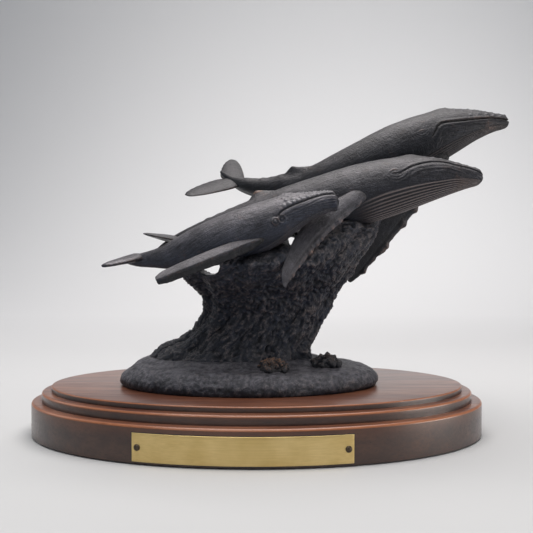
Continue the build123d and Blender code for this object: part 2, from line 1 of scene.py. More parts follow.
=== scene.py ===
# %% [markdown]
# # A bronze whale family over a reef
# The real object is a dark bronze of humpback whales, a mother, an escort and a calf, that swim over a reef on an
# oval wooden plinth. The CAD model already holds every size and place. Here each solid gets the surface that a
# sculptor and a foundry would leave on it. The CAD model is loaded first, as a frame that never moves.

# %% Load the CAD frame
import json
import math
import random

import bpy
import numpy as np
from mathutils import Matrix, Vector, noise
from mathutils.bvhtree import BVHTree

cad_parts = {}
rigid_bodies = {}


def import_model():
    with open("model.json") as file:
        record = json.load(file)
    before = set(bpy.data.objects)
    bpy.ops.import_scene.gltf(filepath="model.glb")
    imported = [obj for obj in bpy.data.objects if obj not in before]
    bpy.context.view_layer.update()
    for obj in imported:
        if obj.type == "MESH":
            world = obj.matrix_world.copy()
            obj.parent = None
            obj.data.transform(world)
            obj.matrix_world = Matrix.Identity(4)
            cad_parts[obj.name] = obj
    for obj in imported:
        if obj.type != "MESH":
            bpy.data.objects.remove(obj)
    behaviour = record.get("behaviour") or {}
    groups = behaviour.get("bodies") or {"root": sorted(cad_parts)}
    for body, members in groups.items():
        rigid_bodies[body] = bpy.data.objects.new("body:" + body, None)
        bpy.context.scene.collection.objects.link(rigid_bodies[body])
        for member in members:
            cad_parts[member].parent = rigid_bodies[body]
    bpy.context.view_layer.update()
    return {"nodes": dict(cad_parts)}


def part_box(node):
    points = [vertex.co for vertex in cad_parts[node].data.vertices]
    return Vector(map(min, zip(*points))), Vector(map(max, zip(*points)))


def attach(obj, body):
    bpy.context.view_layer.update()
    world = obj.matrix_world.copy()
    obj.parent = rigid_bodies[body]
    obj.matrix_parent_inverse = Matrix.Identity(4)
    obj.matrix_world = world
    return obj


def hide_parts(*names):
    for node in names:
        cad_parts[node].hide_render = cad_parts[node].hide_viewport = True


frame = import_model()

MM = 0.001

# %% [markdown]
# ## The camera
# The photograph was taken from the front, a little above the middle of the bronze and almost level. The place and
# the lens come from fitting the three ovals of the plinth, so a camera is simply put there.

# %% Camera
CAMERA_PLACE = (6.6, -520.4, 122.8)
CAMERA_DIP = 1.13
CAMERA_LENS, CAMERA_SENSOR = 51.2, 36
camera_data = bpy.data.cameras.new("camera")
camera_data.lens = CAMERA_LENS
camera_data.sensor_width = CAMERA_SENSOR
camera = bpy.data.objects.new("camera", camera_data)
bpy.context.collection.objects.link(camera)
camera.location = [value * MM for value in CAMERA_PLACE]
camera.rotation_euler = (math.radians(90 - CAMERA_DIP), 0, 0)
bpy.context.scene.camera = camera
bpy.context.scene.view_settings.view_transform = "Standard"
print("camera at", tuple(camera.location))

# %% [markdown]
# ## Helpers for modelling by hand
# An operator works on whatever is selected, so every piece starts from a clear selection. Most of this object is
# long and round, so one helper does what a modeller does with the extrude and scale keys: it pulls a ring along X,
# scaling it at every step, and closes both ends.

# %% Selection and modifier helpers
def clear_selection():
    """Leaves edit mode and selects nothing."""
    if bpy.context.object and bpy.context.object.mode != "OBJECT":
        bpy.ops.object.mode_set(mode="OBJECT")
    bpy.ops.object.select_all(action="DESELECT")


def pick(piece):
    """Makes one piece the only one selected, and active."""
    clear_selection()
    piece.select_set(True)
    bpy.context.view_layer.objects.active = piece


def select_vertices(piece, test):
    """In edit mode, selects the vertices whose place passes a test."""
    bpy.ops.mesh.select_mode(type="VERT")
    bpy.ops.mesh.select_all(action="DESELECT")
    bpy.ops.object.mode_set(mode="OBJECT")
    for vertex in piece.data.vertices:
        vertex.select = test(vertex.co)
    bpy.ops.object.mode_set(mode="EDIT")


def apply_modifier(piece, kind, **settings):
    """Adds a modifier, sets it and applies it."""
    pick(piece)
    bpy.ops.object.modifier_add(type=kind)
    modifier = piece.modifiers[-1]
    for name, value in settings.items():
        setattr(modifier, name, value)
    bpy.ops.object.modifier_apply(modifier=modifier.name)


def edit_all():
    """Opens the active piece in edit mode with everything selected."""
    bpy.ops.object.mode_set(mode="EDIT")
    bpy.ops.mesh.select_all(action="SELECT")


def face_outward():
    """Selects the whole form and turns its faces outward."""
    bpy.ops.mesh.select_all(action="SELECT")
    bpy.ops.mesh.normals_make_consistent(inside=False)


def pull(step):
    """Extrudes what is selected by a step."""
    bpy.ops.mesh.extrude_region_move(TRANSFORM_OT_translate={"value": step})

# %% Pull a ring into a closed form
END_BLUNTNESS = 0.35
CAGE_LEVELS = 3


def extruded_form(name, rows, around):
    """A closed form pulled along X. A row is x, the ring's centre y and z, its half width and half height."""
    clear_selection()
    first = rows[0]
    bpy.ops.mesh.primitive_circle_add(vertices=around, radius=first[3], location=first[:3],
                                      rotation=(0, math.pi / 2, 0))
    form = bpy.context.object
    form.name = name
    bpy.ops.object.transform_apply(location=True, rotation=True, scale=True)
    edit_all()
    bpy.ops.transform.resize(value=(1, 1, first[4] / first[3]), center_override=first[:3])
    for before, after in zip(rows, rows[1:]):
        step = [after[k] - before[k] for k in range(3)]
        pull(step)
        bpy.ops.transform.resize(value=(1, after[3] / before[3], after[4] / before[4]), center_override=after[:3])
    close_ring(END_BLUNTNESS * (rows[-1][3] + rows[-1][4]) / 2)
    select_vertices(form, lambda co: abs(co.x - first[0]) < 1e-7)
    close_ring(-END_BLUNTNESS * (first[3] + first[4]) / 2)
    face_outward()
    bpy.ops.object.mode_set(mode="OBJECT")
    return form


def close_ring(reach):
    """Closes the selected ring with a blunt point that far along X."""
    pull((reach, 0, 0))
    bpy.ops.mesh.merge(type="CENTER")


def smooth_form(name, rows, around):
    """A closed form pulled along X, rounded by a subdivision surface."""
    form = extruded_form(name, rows, around)
    apply_modifier(form, "SUBSURF", levels=CAGE_LEVELS, render_levels=CAGE_LEVELS)
    bpy.ops.object.shade_smooth()
    return form

# %% Read and write the points of a mesh
def read_points(piece):
    """The vertices of a piece as rows of x, y, z."""
    values = np.empty(len(piece.data.vertices) * 3)
    piece.data.vertices.foreach_get("co", values)
    return values.reshape(-1, 3)


def read_normals(piece):
    """The vertex normals of a piece."""
    values = np.empty(len(piece.data.vertices) * 3)
    piece.data.vertex_normals.foreach_get("vector", values)
    return values.reshape(-1, 3)


def write_points(piece, points):
    """Moves the vertices of a piece."""
    piece.data.vertices.foreach_set("co", points.ravel())
    piece.data.update()


def mark(piece, **numbers):
    """Keeps numbers per vertex, by name, for the material to read."""
    for name, values in numbers.items():
        attribute = piece.data.attributes.new(name, "FLOAT", "POINT")
        attribute.data.foreach_set("value", np.asarray(values, dtype=np.float32))


def push(points, normals, heights):
    """Moves points along their normals by heights in millimetres."""
    points += normals * (heights * MM)[:, None]


def between(low, high, values):
    """A soft step from 0 at low to 1 at high."""
    share = np.clip((values - low) / (high - low), 0, 1)
    return share * share * (3 - 2 * share)


def bell(values, width):
    """A bump that is 1 at nought and fades over the width."""
    return np.exp(-(values / width) ** 2)


def through_rows(rows, column, stations):
    """A smooth curve through one column of a table whose first column is the station."""
    xs = np.array([row[0] for row in rows])
    ys = np.array([row[column] for row in rows])
    slopes = np.gradient(ys, xs)
    i = np.clip(np.searchsorted(xs, stations) - 1, 0, len(xs) - 2)
    width = xs[i + 1] - xs[i]
    u = np.clip((stations - xs[i]) / width, 0, 1)
    rise = (2 * u ** 3 - 3 * u ** 2 + 1) * ys[i] + (3 * u ** 2 - 2 * u ** 3) * ys[i + 1]
    bend = (u ** 3 - 2 * u ** 2 + u) * slopes[i] + (u ** 3 - u ** 2) * slopes[i + 1]
    return rise + bend * width


def rough(points, size, octaves=3):
    """Cloudy noise of about -1 to 1 with lumps of that size, at each point."""
    return np.array([noise.fractal(Vector(p) / size, 1.0, 2.0, octaves) for p in points])

# %% [markdown]
# ## The whales' spines
# The CAD model bends every whale along its own spine: it pitches, turns and rolls from the tail to the snout. A
# straight whale is much easier to model and carve, so each one is made straight first, and its points are then
# carried onto the spine. The numbers are the CAD model's own, in millimetres and degrees.

# %% Whale sizes
ADULT_OUTLINE = (
    (0.00, 0.060, 0.095, 0.090), (0.06, 0.085, 0.125, 0.115), (0.14, 0.130, 0.180, 0.165),
    (0.24, 0.215, 0.265, 0.260), (0.36, 0.330, 0.365, 0.385), (0.48, 0.410, 0.440, 0.475),
    (0.60, 0.450, 0.490, 0.525), (0.70, 0.440, 0.480, 0.480), (0.79, 0.395, 0.435, 0.400),
    (0.87, 0.325, 0.320, 0.305), (0.94, 0.240, 0.190, 0.205), (0.985, 0.160, 0.115, 0.130),
    (1.00, 0.105, 0.075, 0.080),
)
ESCORT_OUTLINE = ADULT_OUTLINE[:8] + (
    (0.79, 0.395, 0.435, 0.370), (0.87, 0.325, 0.320, 0.240), (0.94, 0.240, 0.190, 0.155),
    (0.985, 0.160, 0.110, 0.120), (1.00, 0.105, 0.080, 0.085),
)
CALF_OUTLINE = (
    (0.00, 0.095, 0.120, 0.170), (0.06, 0.120, 0.140, 0.220), (0.14, 0.180, 0.210, 0.320),
    (0.24, 0.270, 0.350, 0.410), (0.36, 0.370, 0.450, 0.460), (0.48, 0.430, 0.490, 0.500),
    (0.60, 0.440, 0.480, 0.510), (0.70, 0.420, 0.450, 0.440), (0.79, 0.380, 0.405, 0.310),
    (0.88, 0.320, 0.310, 0.225), (0.95, 0.260, 0.240, 0.185), (0.99, 0.220, 0.180, 0.185),
    (1.00, 0.160, 0.125, 0.135),
)
MOTHER = dict(
    name="mother", length=212.0, girth=40.0, outline=ADULT_OUTLINE, seat_station=0.55, seat=(59.0, -10.0, 159.7),
    pitch=(25.0, 12.0, 12.0, -4.0), yaw=(0.0, 0.0), roll=(0.0, 0.0), fluke_span=68.0, fluke_sweep=0.66,
    fluke_pitch=-12.0, fluke_roll=0.0, fluke_droop=0.0, fluke_plump=0.0,
    fin_station=0.29, fin_size=6.8, fin_rub=0.9, flipper_fold=0.04,
)
ESCORT = dict(
    name="escort", length=212.0, girth=40.0, outline=ESCORT_OUTLINE, seat_station=0.55, seat=(91.0, 27.0, 191.0),
    pitch=(-26.0, 17.0, 20.0, 9.0), yaw=(-24.0, 10.0), roll=(27.0, 3.0), fluke_span=68.0, fluke_sweep=1.0,
    fluke_pitch=-14.0, fluke_roll=29.0, fluke_droop=0.0, fluke_plump=0.0,
    fin_station=0.25, fin_size=7.6, fin_rub=0.2, flipper_fold=0.0,
)
CALF = dict(
    name="calf", length=131.0, girth=31.0, outline=CALF_OUTLINE, seat_station=0.50, seat=(-10.5, -48.0, 133.5),
    pitch=(8.8, 15.6, 21.0, 12.0), yaw=(-12.0, 4.0), roll=(9.0, 0.0), fluke_span=44.0, fluke_sweep=1.12,
    fluke_pitch=2.0, fluke_roll=6.0, fluke_droop=0.10, fluke_plump=0.55,
    fin_station=0.30, fin_size=0.0, fin_rub=0.0, flipper_fold=0.22,
)
WHALES = (MOTHER, ESCORT, CALF)
SPINE_STATIONS = np.linspace(-0.10, 1.06, 581)
print("whales:", [whale["name"] for whale in WHALES])

# %% Follow a spine
def axes(pitch, yaw, roll):
    """Forward, left and up for bodies pitched, turned and rolled by these degrees."""
    p, a, r = np.radians(pitch), np.radians(yaw), np.radians(roll)
    forward = np.stack([np.cos(p) * np.cos(a), np.cos(p) * np.sin(a), np.sin(p)], axis=-1)
    level = np.stack([-np.sin(a), np.cos(a), np.zeros_like(a)], axis=-1)
    lift = np.cross(forward, level)
    turn, tilt = np.cos(r)[..., None], np.sin(r)[..., None]
    return forward, level * turn + lift * tilt, lift * turn - level * tilt


def spine_axes(whale, t):
    """Forward, left and up at stations of the spine."""
    pitch = np.zeros_like(t)
    for i, value in enumerate(whale["pitch"]):
        weight = np.ones_like(t)
        for j in range(4):
            if j != i:
                weight = weight * (t * 3 - j) / (i - j)
        pitch = pitch + value * weight
    yaw = whale["yaw"][0] + (whale["yaw"][1] - whale["yaw"][0]) * t
    roll = whale["roll"][0] + (whale["roll"][1] - whale["roll"][0]) * t
    return axes(pitch, yaw, roll)


def spine_points(whale, t):
    """The spine's places at stations, in millimetres, measured along it from the seat."""
    steps = spine_axes(whale, (SPINE_STATIONS[1:] + SPINE_STATIONS[:-1]) / 2)[0]
    path = np.vstack([np.zeros(3), np.cumsum(steps, axis=0)])
    path *= (SPINE_STATIONS[1] - SPINE_STATIONS[0]) * whale["length"]
    seat = [np.interp(whale["seat_station"], SPINE_STATIONS, path[:, k]) for k in range(3)]
    path += np.array(whale["seat"]) - np.array(seat)
    return np.stack([np.interp(t, SPINE_STATIONS, path[:, k]) for k in range(3)], axis=-1)


def lay_on_spine(whale, points):
    """Carries the points of a straight whale, in metres, onto its spine."""
    t = points[:, 0] / MM / whale["length"]
    forward, left, up = spine_axes(whale, t)
    return spine_points(whale, t) * MM + left * points[:, 1:2] + up * points[:, 2:3]


def girth_at(whale, t):
    """Half width, height above and depth below the spine at stations, in millimetres."""
    return [through_rows(whale["outline"], column, t) * whale["girth"] for column in (1, 2, 3)]

for whale in WHALES:
    ends = spine_points(whale, np.array([0.0, 1.0]))
    print(whale["name"], "tail", ends[0].round(1), "snout", ends[1].round(1))

# %% [markdown]
# ## The whales' bodies
# A humpback is a long tapering form, so each body is a ring pulled from the tail to the snout. The rings lie
# closer together towards the head, because the carving there is finer. A subdivision surface rounds the cage.

# %% Straight bodies
TAIL_RINGS = (-0.075, -0.066, -0.045, -0.02)
SNOUT_RINGS = (0.955, 0.967, 0.977, 0.984)
BODY_RINGS = np.concatenate([TAIL_RINGS, np.linspace(0.0, 0.58, 14), np.linspace(0.61, 0.94, 18), SNOUT_RINGS])
TAIL_TAPER = 0.08
BODY_RING_VERTICES = 28


def straight_body(whale):
    """One whale's body along X with its tail at the origin."""
    taper = np.sqrt(np.clip((BODY_RINGS + TAIL_TAPER) / TAIL_TAPER, 0.05, 1))
    wide, above, below = [size * taper * MM for size in girth_at(whale, BODY_RINGS)]
    rows = [(t * whale["length"] * MM, 0.0, (a - b) / 2, w, (a + b) / 2)
            for t, w, a, b in zip(BODY_RINGS, wide, above, below)]
    return smooth_form(whale["name"] + "_bronze", rows, BODY_RING_VERTICES)


bodies = {whale["name"]: straight_body(whale) for whale in WHALES}
for name, body in bodies.items():
    print(name, "body:", len(body.data.polygons), "faces")

# %% [markdown]
# ## Carving the heads
# The life of the bronze is in its heads: the long curved lip, the ringed eye, the pleated throat and the rows of
# knobs on the snout. Each is a place on the body, given by its station from tail to snout and its angle down from
# the middle of the back. A carving keeps how far each vertex moves along its normal, as under a sculpting brush,
# and where the bronze is creased, rubbed or given a painted highlight. Each feature is one small function that adds to
# it.

# %% Where the features lie
FACES = {
    "mother": dict(
        lip=((0.722, 70), (0.735, 66), (0.752, 61), (0.775, 56), (0.80, 51), (0.825, 47), (0.85, 44), (0.875, 44),
             (0.89, 47), (0.917, 50), (0.948, 52), (0.972, 64), (0.990, 88), (1.0, 100)),
        eye=(0.708, 63), pleat_top=((0.56, 114), (0.60, 107), (0.645, 102), (0.71, 99), (0.775, 98), (0.843, 99),
                                    (0.908, 101), (0.98, 118), (1.0, 130)),
        pleats=10.5, pleat_start=(0.56, 0.66), knob_rows=((0, 0.82), (20, 0.84), (36, 0.88)), knob=0.42,
        eye_size=0.80, beads=None, lip_rub=0.2, stock=0.0, lip_depth=0.60, flow=0.45,
    ),
    "escort": dict(
        lip=((0.708, 80), (0.716, 75), (0.724, 70), (0.733, 63), (0.748, 59), (0.775, 61), (0.82, 65), (0.875, 67),
             (0.927, 68), (0.960, 76), (0.985, 92), (1.0, 100)),
        eye=(0.680, 63), pleat_top=((0.56, 131), (0.60, 125), (0.645, 119), (0.71, 112), (0.775, 108), (0.843, 106),
                                    (0.908, 108), (0.98, 124), (1.0, 140)),
        pleats=10.5, pleat_start=(0.56, 0.66), knob_rows=((0, 0.79), (24, 0.81), (48, 0.85)), knob=0.55,
        eye_size=0.60, beads=None, lip_rub=0.35, stock=2.8, lip_depth=1.0, flow=0.55,
    ),
    "calf": dict(
        lip=((0.704, 80), (0.715, 75), (0.75, 69), (0.79, 66), (0.831, 63), (0.87, 58), (0.898, 54), (0.935, 50),
             (0.965, 50), (0.985, 54), (1.0, 60)),
        eye=(0.683, 91), pleat_top=((0.52, 150), (0.60, 143), (0.70, 136), (0.80, 132), (0.90, 130), (1.0, 135)),
        pleats=5.5, pleat_start=(0.50, 0.60), knob_rows=((0, 0.76), (16, 0.77), (30, 0.75), (44, 0.76)), knob=0.60,
        eye_size=1.25, beads=(0.745, 9.0), lip_rub=0.25, stock=0.0, lip_depth=0.9, flow=0.80,
    ),
}


def carving_ground(whale, points):
    """Station, angle down from the back in degrees, and distance from the spine in millimetres, at each vertex."""
    t = points[:, 0] / MM / whale["length"]
    wide, above, below = girth_at(whale, np.clip(t, 0, 1))
    y, z = points[:, 1] / MM, points[:, 2] / MM
    height = np.where(z > 0, above, below)
    angle = np.degrees(np.arctan2(np.abs(y) / wide, z / height))
    return t, angle, np.hypot(y, z)


def line_distance(whale, t, angle, radius, line):
    """Distance in millimetres over the skin to a line of stations and angles."""
    best = np.full(len(t), 1e9)
    for (t0, a0), (t1, a1) in zip(line, line[1:]):
        x0, y0 = (t0 - t) * whale["length"], np.radians(a0 - angle) * radius
        dx, dy = (t1 - t0) * whale["length"], np.radians(a1 - a0) * radius
        share = np.clip(-(x0 * dx + y0 * dy) / (dx * dx + dy * dy), 0, 1)
        best = np.minimum(best, np.hypot(x0 + share * dx, y0 + share * dy))
    return best

print("faces to carve:", list(FACES))

# %% A body on the bench
ADULT_GIRTH = 40.0
DEGREES_PER_RADIAN = 57.3


class Carving:
    """A straight body: where its vertices lie, and what the carving has done to them so far."""

    def __init__(self, whale, body):
        self.whale, self.face = whale, FACES[whale["name"]]
        self.scale = whale["girth"] / ADULT_GIRTH
        self.points, self.normals = read_points(body), read_normals(body)
        self.t, self.angle, self.radius = carving_ground(whale, self.points)
        # The last of these holds a painted highlight: a light grey laid on knobs, brows and eyes.
        self.move, self.crease, self.rub, self.shine = (np.zeros(len(self.t)) for _ in range(4))

    def along(self, station):
        """Distance in millimetres along the body from a station."""
        return (self.t - station) * self.whale["length"]

    def down(self, angle):
        """Distance in millimetres over the skin from an angle."""
        return np.radians(self.angle - angle) * self.radius

# %% Lips and throat
def carve_mouth(c):
    """The lip's groove, with a ledge above it and the jaw's swell below it."""
    start = c.face["lip"][0][0]
    c.below_lip = c.down(through_rows(c.face["lip"], 1, np.clip(c.t, start, 1.0)))
    c.on_head = between(start - 0.01, start + 0.03, c.t)
    jaw = c.on_head * between(0.0, 1.5, c.below_lip) * between(9.0 * c.scale, 3.0 * c.scale, c.below_lip)
    ledge = c.on_head * between(-3.0, -0.6, c.below_lip) * between(0.2, -0.5, c.below_lip)
    groove = c.face["lip_depth"] * bell(line_distance(c.whale, c.t, c.angle, c.radius, c.face["lip"]), 0.55)
    c.move += 0.55 * c.scale * jaw + 0.45 * c.scale * ledge - 0.95 * c.scale * groove
    c.crease += 0.9 * groove
    c.rub += c.face["lip_rub"] * ledge + 0.1 * jaw


def carve_throat(c):
    """The pleats under the jaw, and the finer lines that flow along it."""
    top = through_rows(c.face["pleat_top"], 1, np.clip(c.t, c.face["pleat_top"][0][0], 1.0))
    c.pleat = (c.angle - top) / (180 - top) * c.face["pleats"]
    c.throat = between(*c.face["pleat_start"], c.t) * between(0.995, 0.965, c.t) * between(-0.35, 0.1, c.pleat)
    valley = (0.5 + 0.5 * np.cos(2 * math.pi * c.pleat)) ** 1.6
    c.move += c.throat * (0.25 - 0.75 * valley) * c.scale
    flow = c.on_head * between(1.2, 2.6, c.below_lip) * between(13.0 * c.scale, 9.0 * c.scale, c.below_lip)
    flow *= 1 - c.throat
    waver = 0.9 * rough(c.points * np.array([0.3, 1, 1]), 6 * MM, 2)
    lines = np.cos(2 * math.pi * (c.below_lip + waver) / (2.5 * c.scale))
    flow *= c.face["flow"] * (0.45 + 0.9 * np.abs(rough(c.points, 5 * MM, 2)))
    c.move += 0.26 * c.scale * flow * lines
    c.crease += 0.55 * flow * between(-0.2, -1.0, lines)

# %% Eyes
def carve_eye(c):
    """The calf's round eye or an adult's narrow one, and the folds of skin round it."""
    unit = c.scale * c.face["eye_size"]
    station, angle = c.face["eye"]
    x, y = c.along(station) / unit, c.down(angle) / unit
    shape = carve_round_eye if c.face["beads"] else carve_narrow_eye
    shape(c, x, y, unit)
    swirl = np.hypot((x - 1.2) * 0.72, y)
    folds = np.cos(2 * math.pi * swirl / 2.1) * between(3.0, 4.2, swirl) * between(10.5, 7.0, swirl)
    folds *= between(-3.5, 0.5, y)
    folds *= 0.4 if c.face["beads"] else 1.0
    c.move += 0.13 * c.scale * folds
    c.crease += 0.22 * np.clip(-folds, 0, 1)


def carve_round_eye(c, x, y, unit):
    """A bulging eye with lids, and a second ring in front of it."""
    eye = np.hypot(x, y)
    lids = bell(eye - 2.05, 0.45)
    rim = bell(eye - 1.40, 0.28)
    hollow = bell(eye - 2.9, 0.45)
    c.move += unit * (0.85 * bell(eye, 1.25) + 0.40 * lids - 0.20 * hollow)
    c.crease += 0.8 * rim + 0.3 * hollow
    c.rub += 0.25 * lids
    ring = np.hypot(x - 4.2, y - 0.3)
    dip = bell(ring - 1.2, 0.5)
    c.move += unit * (0.38 * bell(ring - 2.3, 0.5) - 0.25 * dip)
    c.crease += 0.5 * dip
    # Painted highlight: a light grey patch on the brow and a glint on the eye.
    c.shine += 0.8 * bell(np.hypot(x + 1.6, y + 2.3), 1.5) + 0.5 * bell(np.hypot(x, y + 0.6), 0.6)


def carve_narrow_eye(c, x, y, unit):
    """A slit under a heavy brow, with a lid below."""
    brow = bell(y + 1.7 - 0.08 * x ** 2, 0.75) * bell(x, 3.4)
    slit = bell(y + 0.75 - 0.06 * x ** 2, 0.34) * bell(x, 2.7)
    lid = bell(y - 1.15 + 0.05 * x ** 2, 0.45) * bell(x, 2.9)
    under = bell(y - 2.0 + 0.04 * x ** 2, 0.36) * bell(x, 3.2)
    ball = bell(np.hypot(x / 1.5, y - 0.25), 1.0)
    c.move += unit * (0.75 * brow - 0.55 * slit + 0.40 * ball + 0.35 * lid - 0.28 * under)
    c.crease += 0.95 * slit + 0.5 * under
    c.rub += 0.95 * brow + 0.5 * lid
    # Painted highlight along the brow.
    c.shine += 0.3 * brow

# %% Knobs, back and fin
BLOWHOLE_STATION = 0.775


def carve_knobs(c):
    """Rows of knobs on the snout, and the calf's row of beads above its lip."""
    knobs = np.zeros(len(c.t))
    dice = random.Random(7)
    for row_angle, station in c.face["knob_rows"]:
        while station < 0.985:
            across = c.down(row_angle + dice.uniform(-4, 4))
            reach = np.hypot(c.along(station), across)
            knobs = np.maximum(knobs, bell(reach, 0.95 * c.scale * dice.uniform(0.8, 1.2)))
            station += dice.uniform(0.020, 0.030) * ADULT_GIRTH / c.whale["girth"] ** 0.9 * 0.72
    if c.face["beads"]:
        station, above_lip = c.face["beads"]
        while station < 0.975:
            across = c.down(np.interp(station, *zip(*c.face["lip"])) - above_lip + dice.uniform(-1.5, 1.5))
            reach = np.hypot(c.along(station), across)
            knobs = np.maximum(knobs, 1.35 * bell(reach, 1.05 * dice.uniform(0.85, 1.15)))
            station += 0.0225
    c.move += c.face["knob"] * knobs
    c.rub += 0.12 * knobs
    # Painted highlight: the knobs are laid in a light grey.
    c.shine += 0.75 * knobs


def carve_back(c):
    """The blowhole, the knuckles of the tail stock, and the uneven skin of a hand-worked casting."""
    from_back, from_hole = c.down(0), c.along(BLOWHOLE_STATION)
    blowhole = np.hypot(from_hole / 6.0, from_back / 3.6) / c.scale
    slit = bell(from_back - 1.3 * c.scale, 0.45 * c.scale) * bell(from_hole, 3.0 * c.scale)
    c.move += c.scale * (1.1 * bell(blowhole, 1.0) - 0.9 * slit)
    c.crease += 0.8 * slit
    c.wander = rough(c.points, 11 * MM)
    knuckles = between(0.24, 0.18, c.t) * between(0.02, 0.06, c.t)
    knuckles *= np.sin(2 * math.pi * c.t * c.whale["length"] / (7.4 * c.scale))
    c.move += 0.30 * c.scale * bell(from_back, 2.2 * c.scale) * knuckles * (0.6 + c.wander)
    fine = rough(c.points * np.array([0.35, 1, 1]), 2.2 * MM, 2)
    stock = between(-0.04, 0.06, c.t) * between(0.27, 0.19, c.t) * (0.35 + 0.65 * between(130, 70, c.angle))
    c.move += c.face["stock"] * stock
    c.move += (0.13 * c.wander + 0.05 * fine) * (1 - 0.75 * c.throat)


def raise_fin(c):
    """Lifts the low fin out of an adult's back."""
    size = c.whale["fin_size"]
    if size > 0:
        along = c.along(c.whale["fin_station"])
        height = np.clip((1.55 * size - along) / (2.05 * size), 0, 0.88)
        height *= between(-1.40 * size, -0.15 * size, along)
        thin = bell(c.points[:, 1] / MM, 0.36 * size) * (c.points[:, 2] > 0)
        lift = 0.76 * size * height * thin
        c.points[:, 2] += lift * MM
        c.points[:, 0] -= 0.10 * lift * MM
        c.rub += c.whale["fin_rub"] * between(0.30 * size, 0.55 * size, lift)

# %% Carve the bodies
def carve(whale, body):
    """Carves one straight body, keeps its wear for the material, and lays it on its spine."""
    c = Carving(whale, body)
    for step in (carve_mouth, carve_throat, carve_eye, carve_knobs, carve_back):
        step(c)
    push(c.points, c.normals, c.move)
    raise_fin(c)
    # Creases and wear are kept for the material, together with the painted highlight.
    mark(body, crease=np.clip(c.crease, 0, 1), rub=np.clip(c.rub + 0.45 * np.clip(c.wander, 0, 1), 0, 1),
         shine=np.clip(c.shine, 0, 1), pleat=c.pleat, throat=c.throat, along=c.t * whale["length"],
         around=c.angle * c.radius / DEGREES_PER_RADIAN)
    write_points(body, lay_on_spine(whale, c.points))


for whale in WHALES:
    carve(whale, bodies[whale["name"]])
    print("carved", whale["name"], [round(v / MM) for v in bodies[whale["name"]].dimensions])

# %% [markdown]
# ## Flippers
# A humpback's flipper is a third of its body long, with knobs along the leading edge. Each is a flat ring pulled
# from root to tip. The knobs are then pushed out, each with its own size and place, the leading strip is folded
# down a little, most of all on the calf, and the blade is turned to where it grows.

# %% Flipper sizes
FLIPPER_OUTLINE = (
    (0.00, 0.64, 0.170), (0.14, 0.79, 0.160), (0.30, 0.95, 0.140), (0.46, 1.00, 0.120),
    (0.66, 0.90, 0.100), (0.83, 0.66, 0.075), (0.95, 0.40, 0.050), (1.00, 0.16, 0.030),
)
CALF_FLIPPER_OUTLINE = (
    (0.00, 0.72, 0.170), (0.14, 0.88, 0.165), (0.30, 1.00, 0.150), (0.46, 1.00, 0.135),
    (0.66, 0.94, 0.120), (0.83, 0.84, 0.105), (0.95, 0.66, 0.085), (1.00, 0.40, 0.060),
)
FLIPPER_ROOT_DEPTH = 0.85
FLIPPER_RINGS = np.concatenate([np.linspace(0, 0.93, 16), (0.96, 0.985, 1.0)])
EDGE_KNOBS = (0.12, 0.21, 0.32, 0.39, 0.50, 0.56, 0.66, 0.74, 0.79, 0.88, 0.93)
BLADE_RING_VERTICES = 16
CLEAR_FOLD = 0.1
# Length, chord, sweep, depth of the knobs as a share of the chord, and outline
BLADES = {
    "mother": (86.0, 16.0, 1.7, 0.056, FLIPPER_OUTLINE),
    "escort": (113.0, 23.0, 0.3, 0.075, FLIPPER_OUTLINE),
    "calf": (69.0, 11.0, 0.3, 0.030, CALF_FLIPPER_OUTLINE),
}
# Whale and side, station and angle of the root, the way the blade points and the way its face looks
FLIPPERS = (
    (MOTHER, "right", 0.600, 183.0, (-56.5, -33, -55), (0.25, -0.85, 0.45)),
    (MOTHER, "left", 0.600, -3.0, (-40, 46, -46), (-0.25, -0.70, -0.60)),
    (ESCORT, "right", 0.735, 225.0, (-67, 4, -90), (0.30, -0.90, 0.10)),
    (ESCORT, "left", 0.680, -20.0, (-45, 40, -45), (-0.25, -0.70, -0.60)),
    (CALF, "right", 0.600, 209.0, (-57, -15, -22.5), (-0.15, -0.75, 0.65)),
    (CALF, "left", 0.600, -32.0, (-50, 20, -15), (0.15, -0.45, -0.88)),
)
print("flippers to make:", len(FLIPPERS))

# %% Model the flippers
def edge_knobs(points, x, dice):
    """How strongly the leading edge is knobbed at each vertex, a share x of the way to the tip."""
    knobs = np.max([dice.uniform(0.25, 1.0) * bell(x - place - dice.uniform(-0.025, 0.025), dice.uniform(0.018, 0.036))
                    for place in EDGE_KNOBS], axis=0)
    return np.clip(knobs + 0.22 * rough(points, 4 * MM, 2), 0, 1.2)


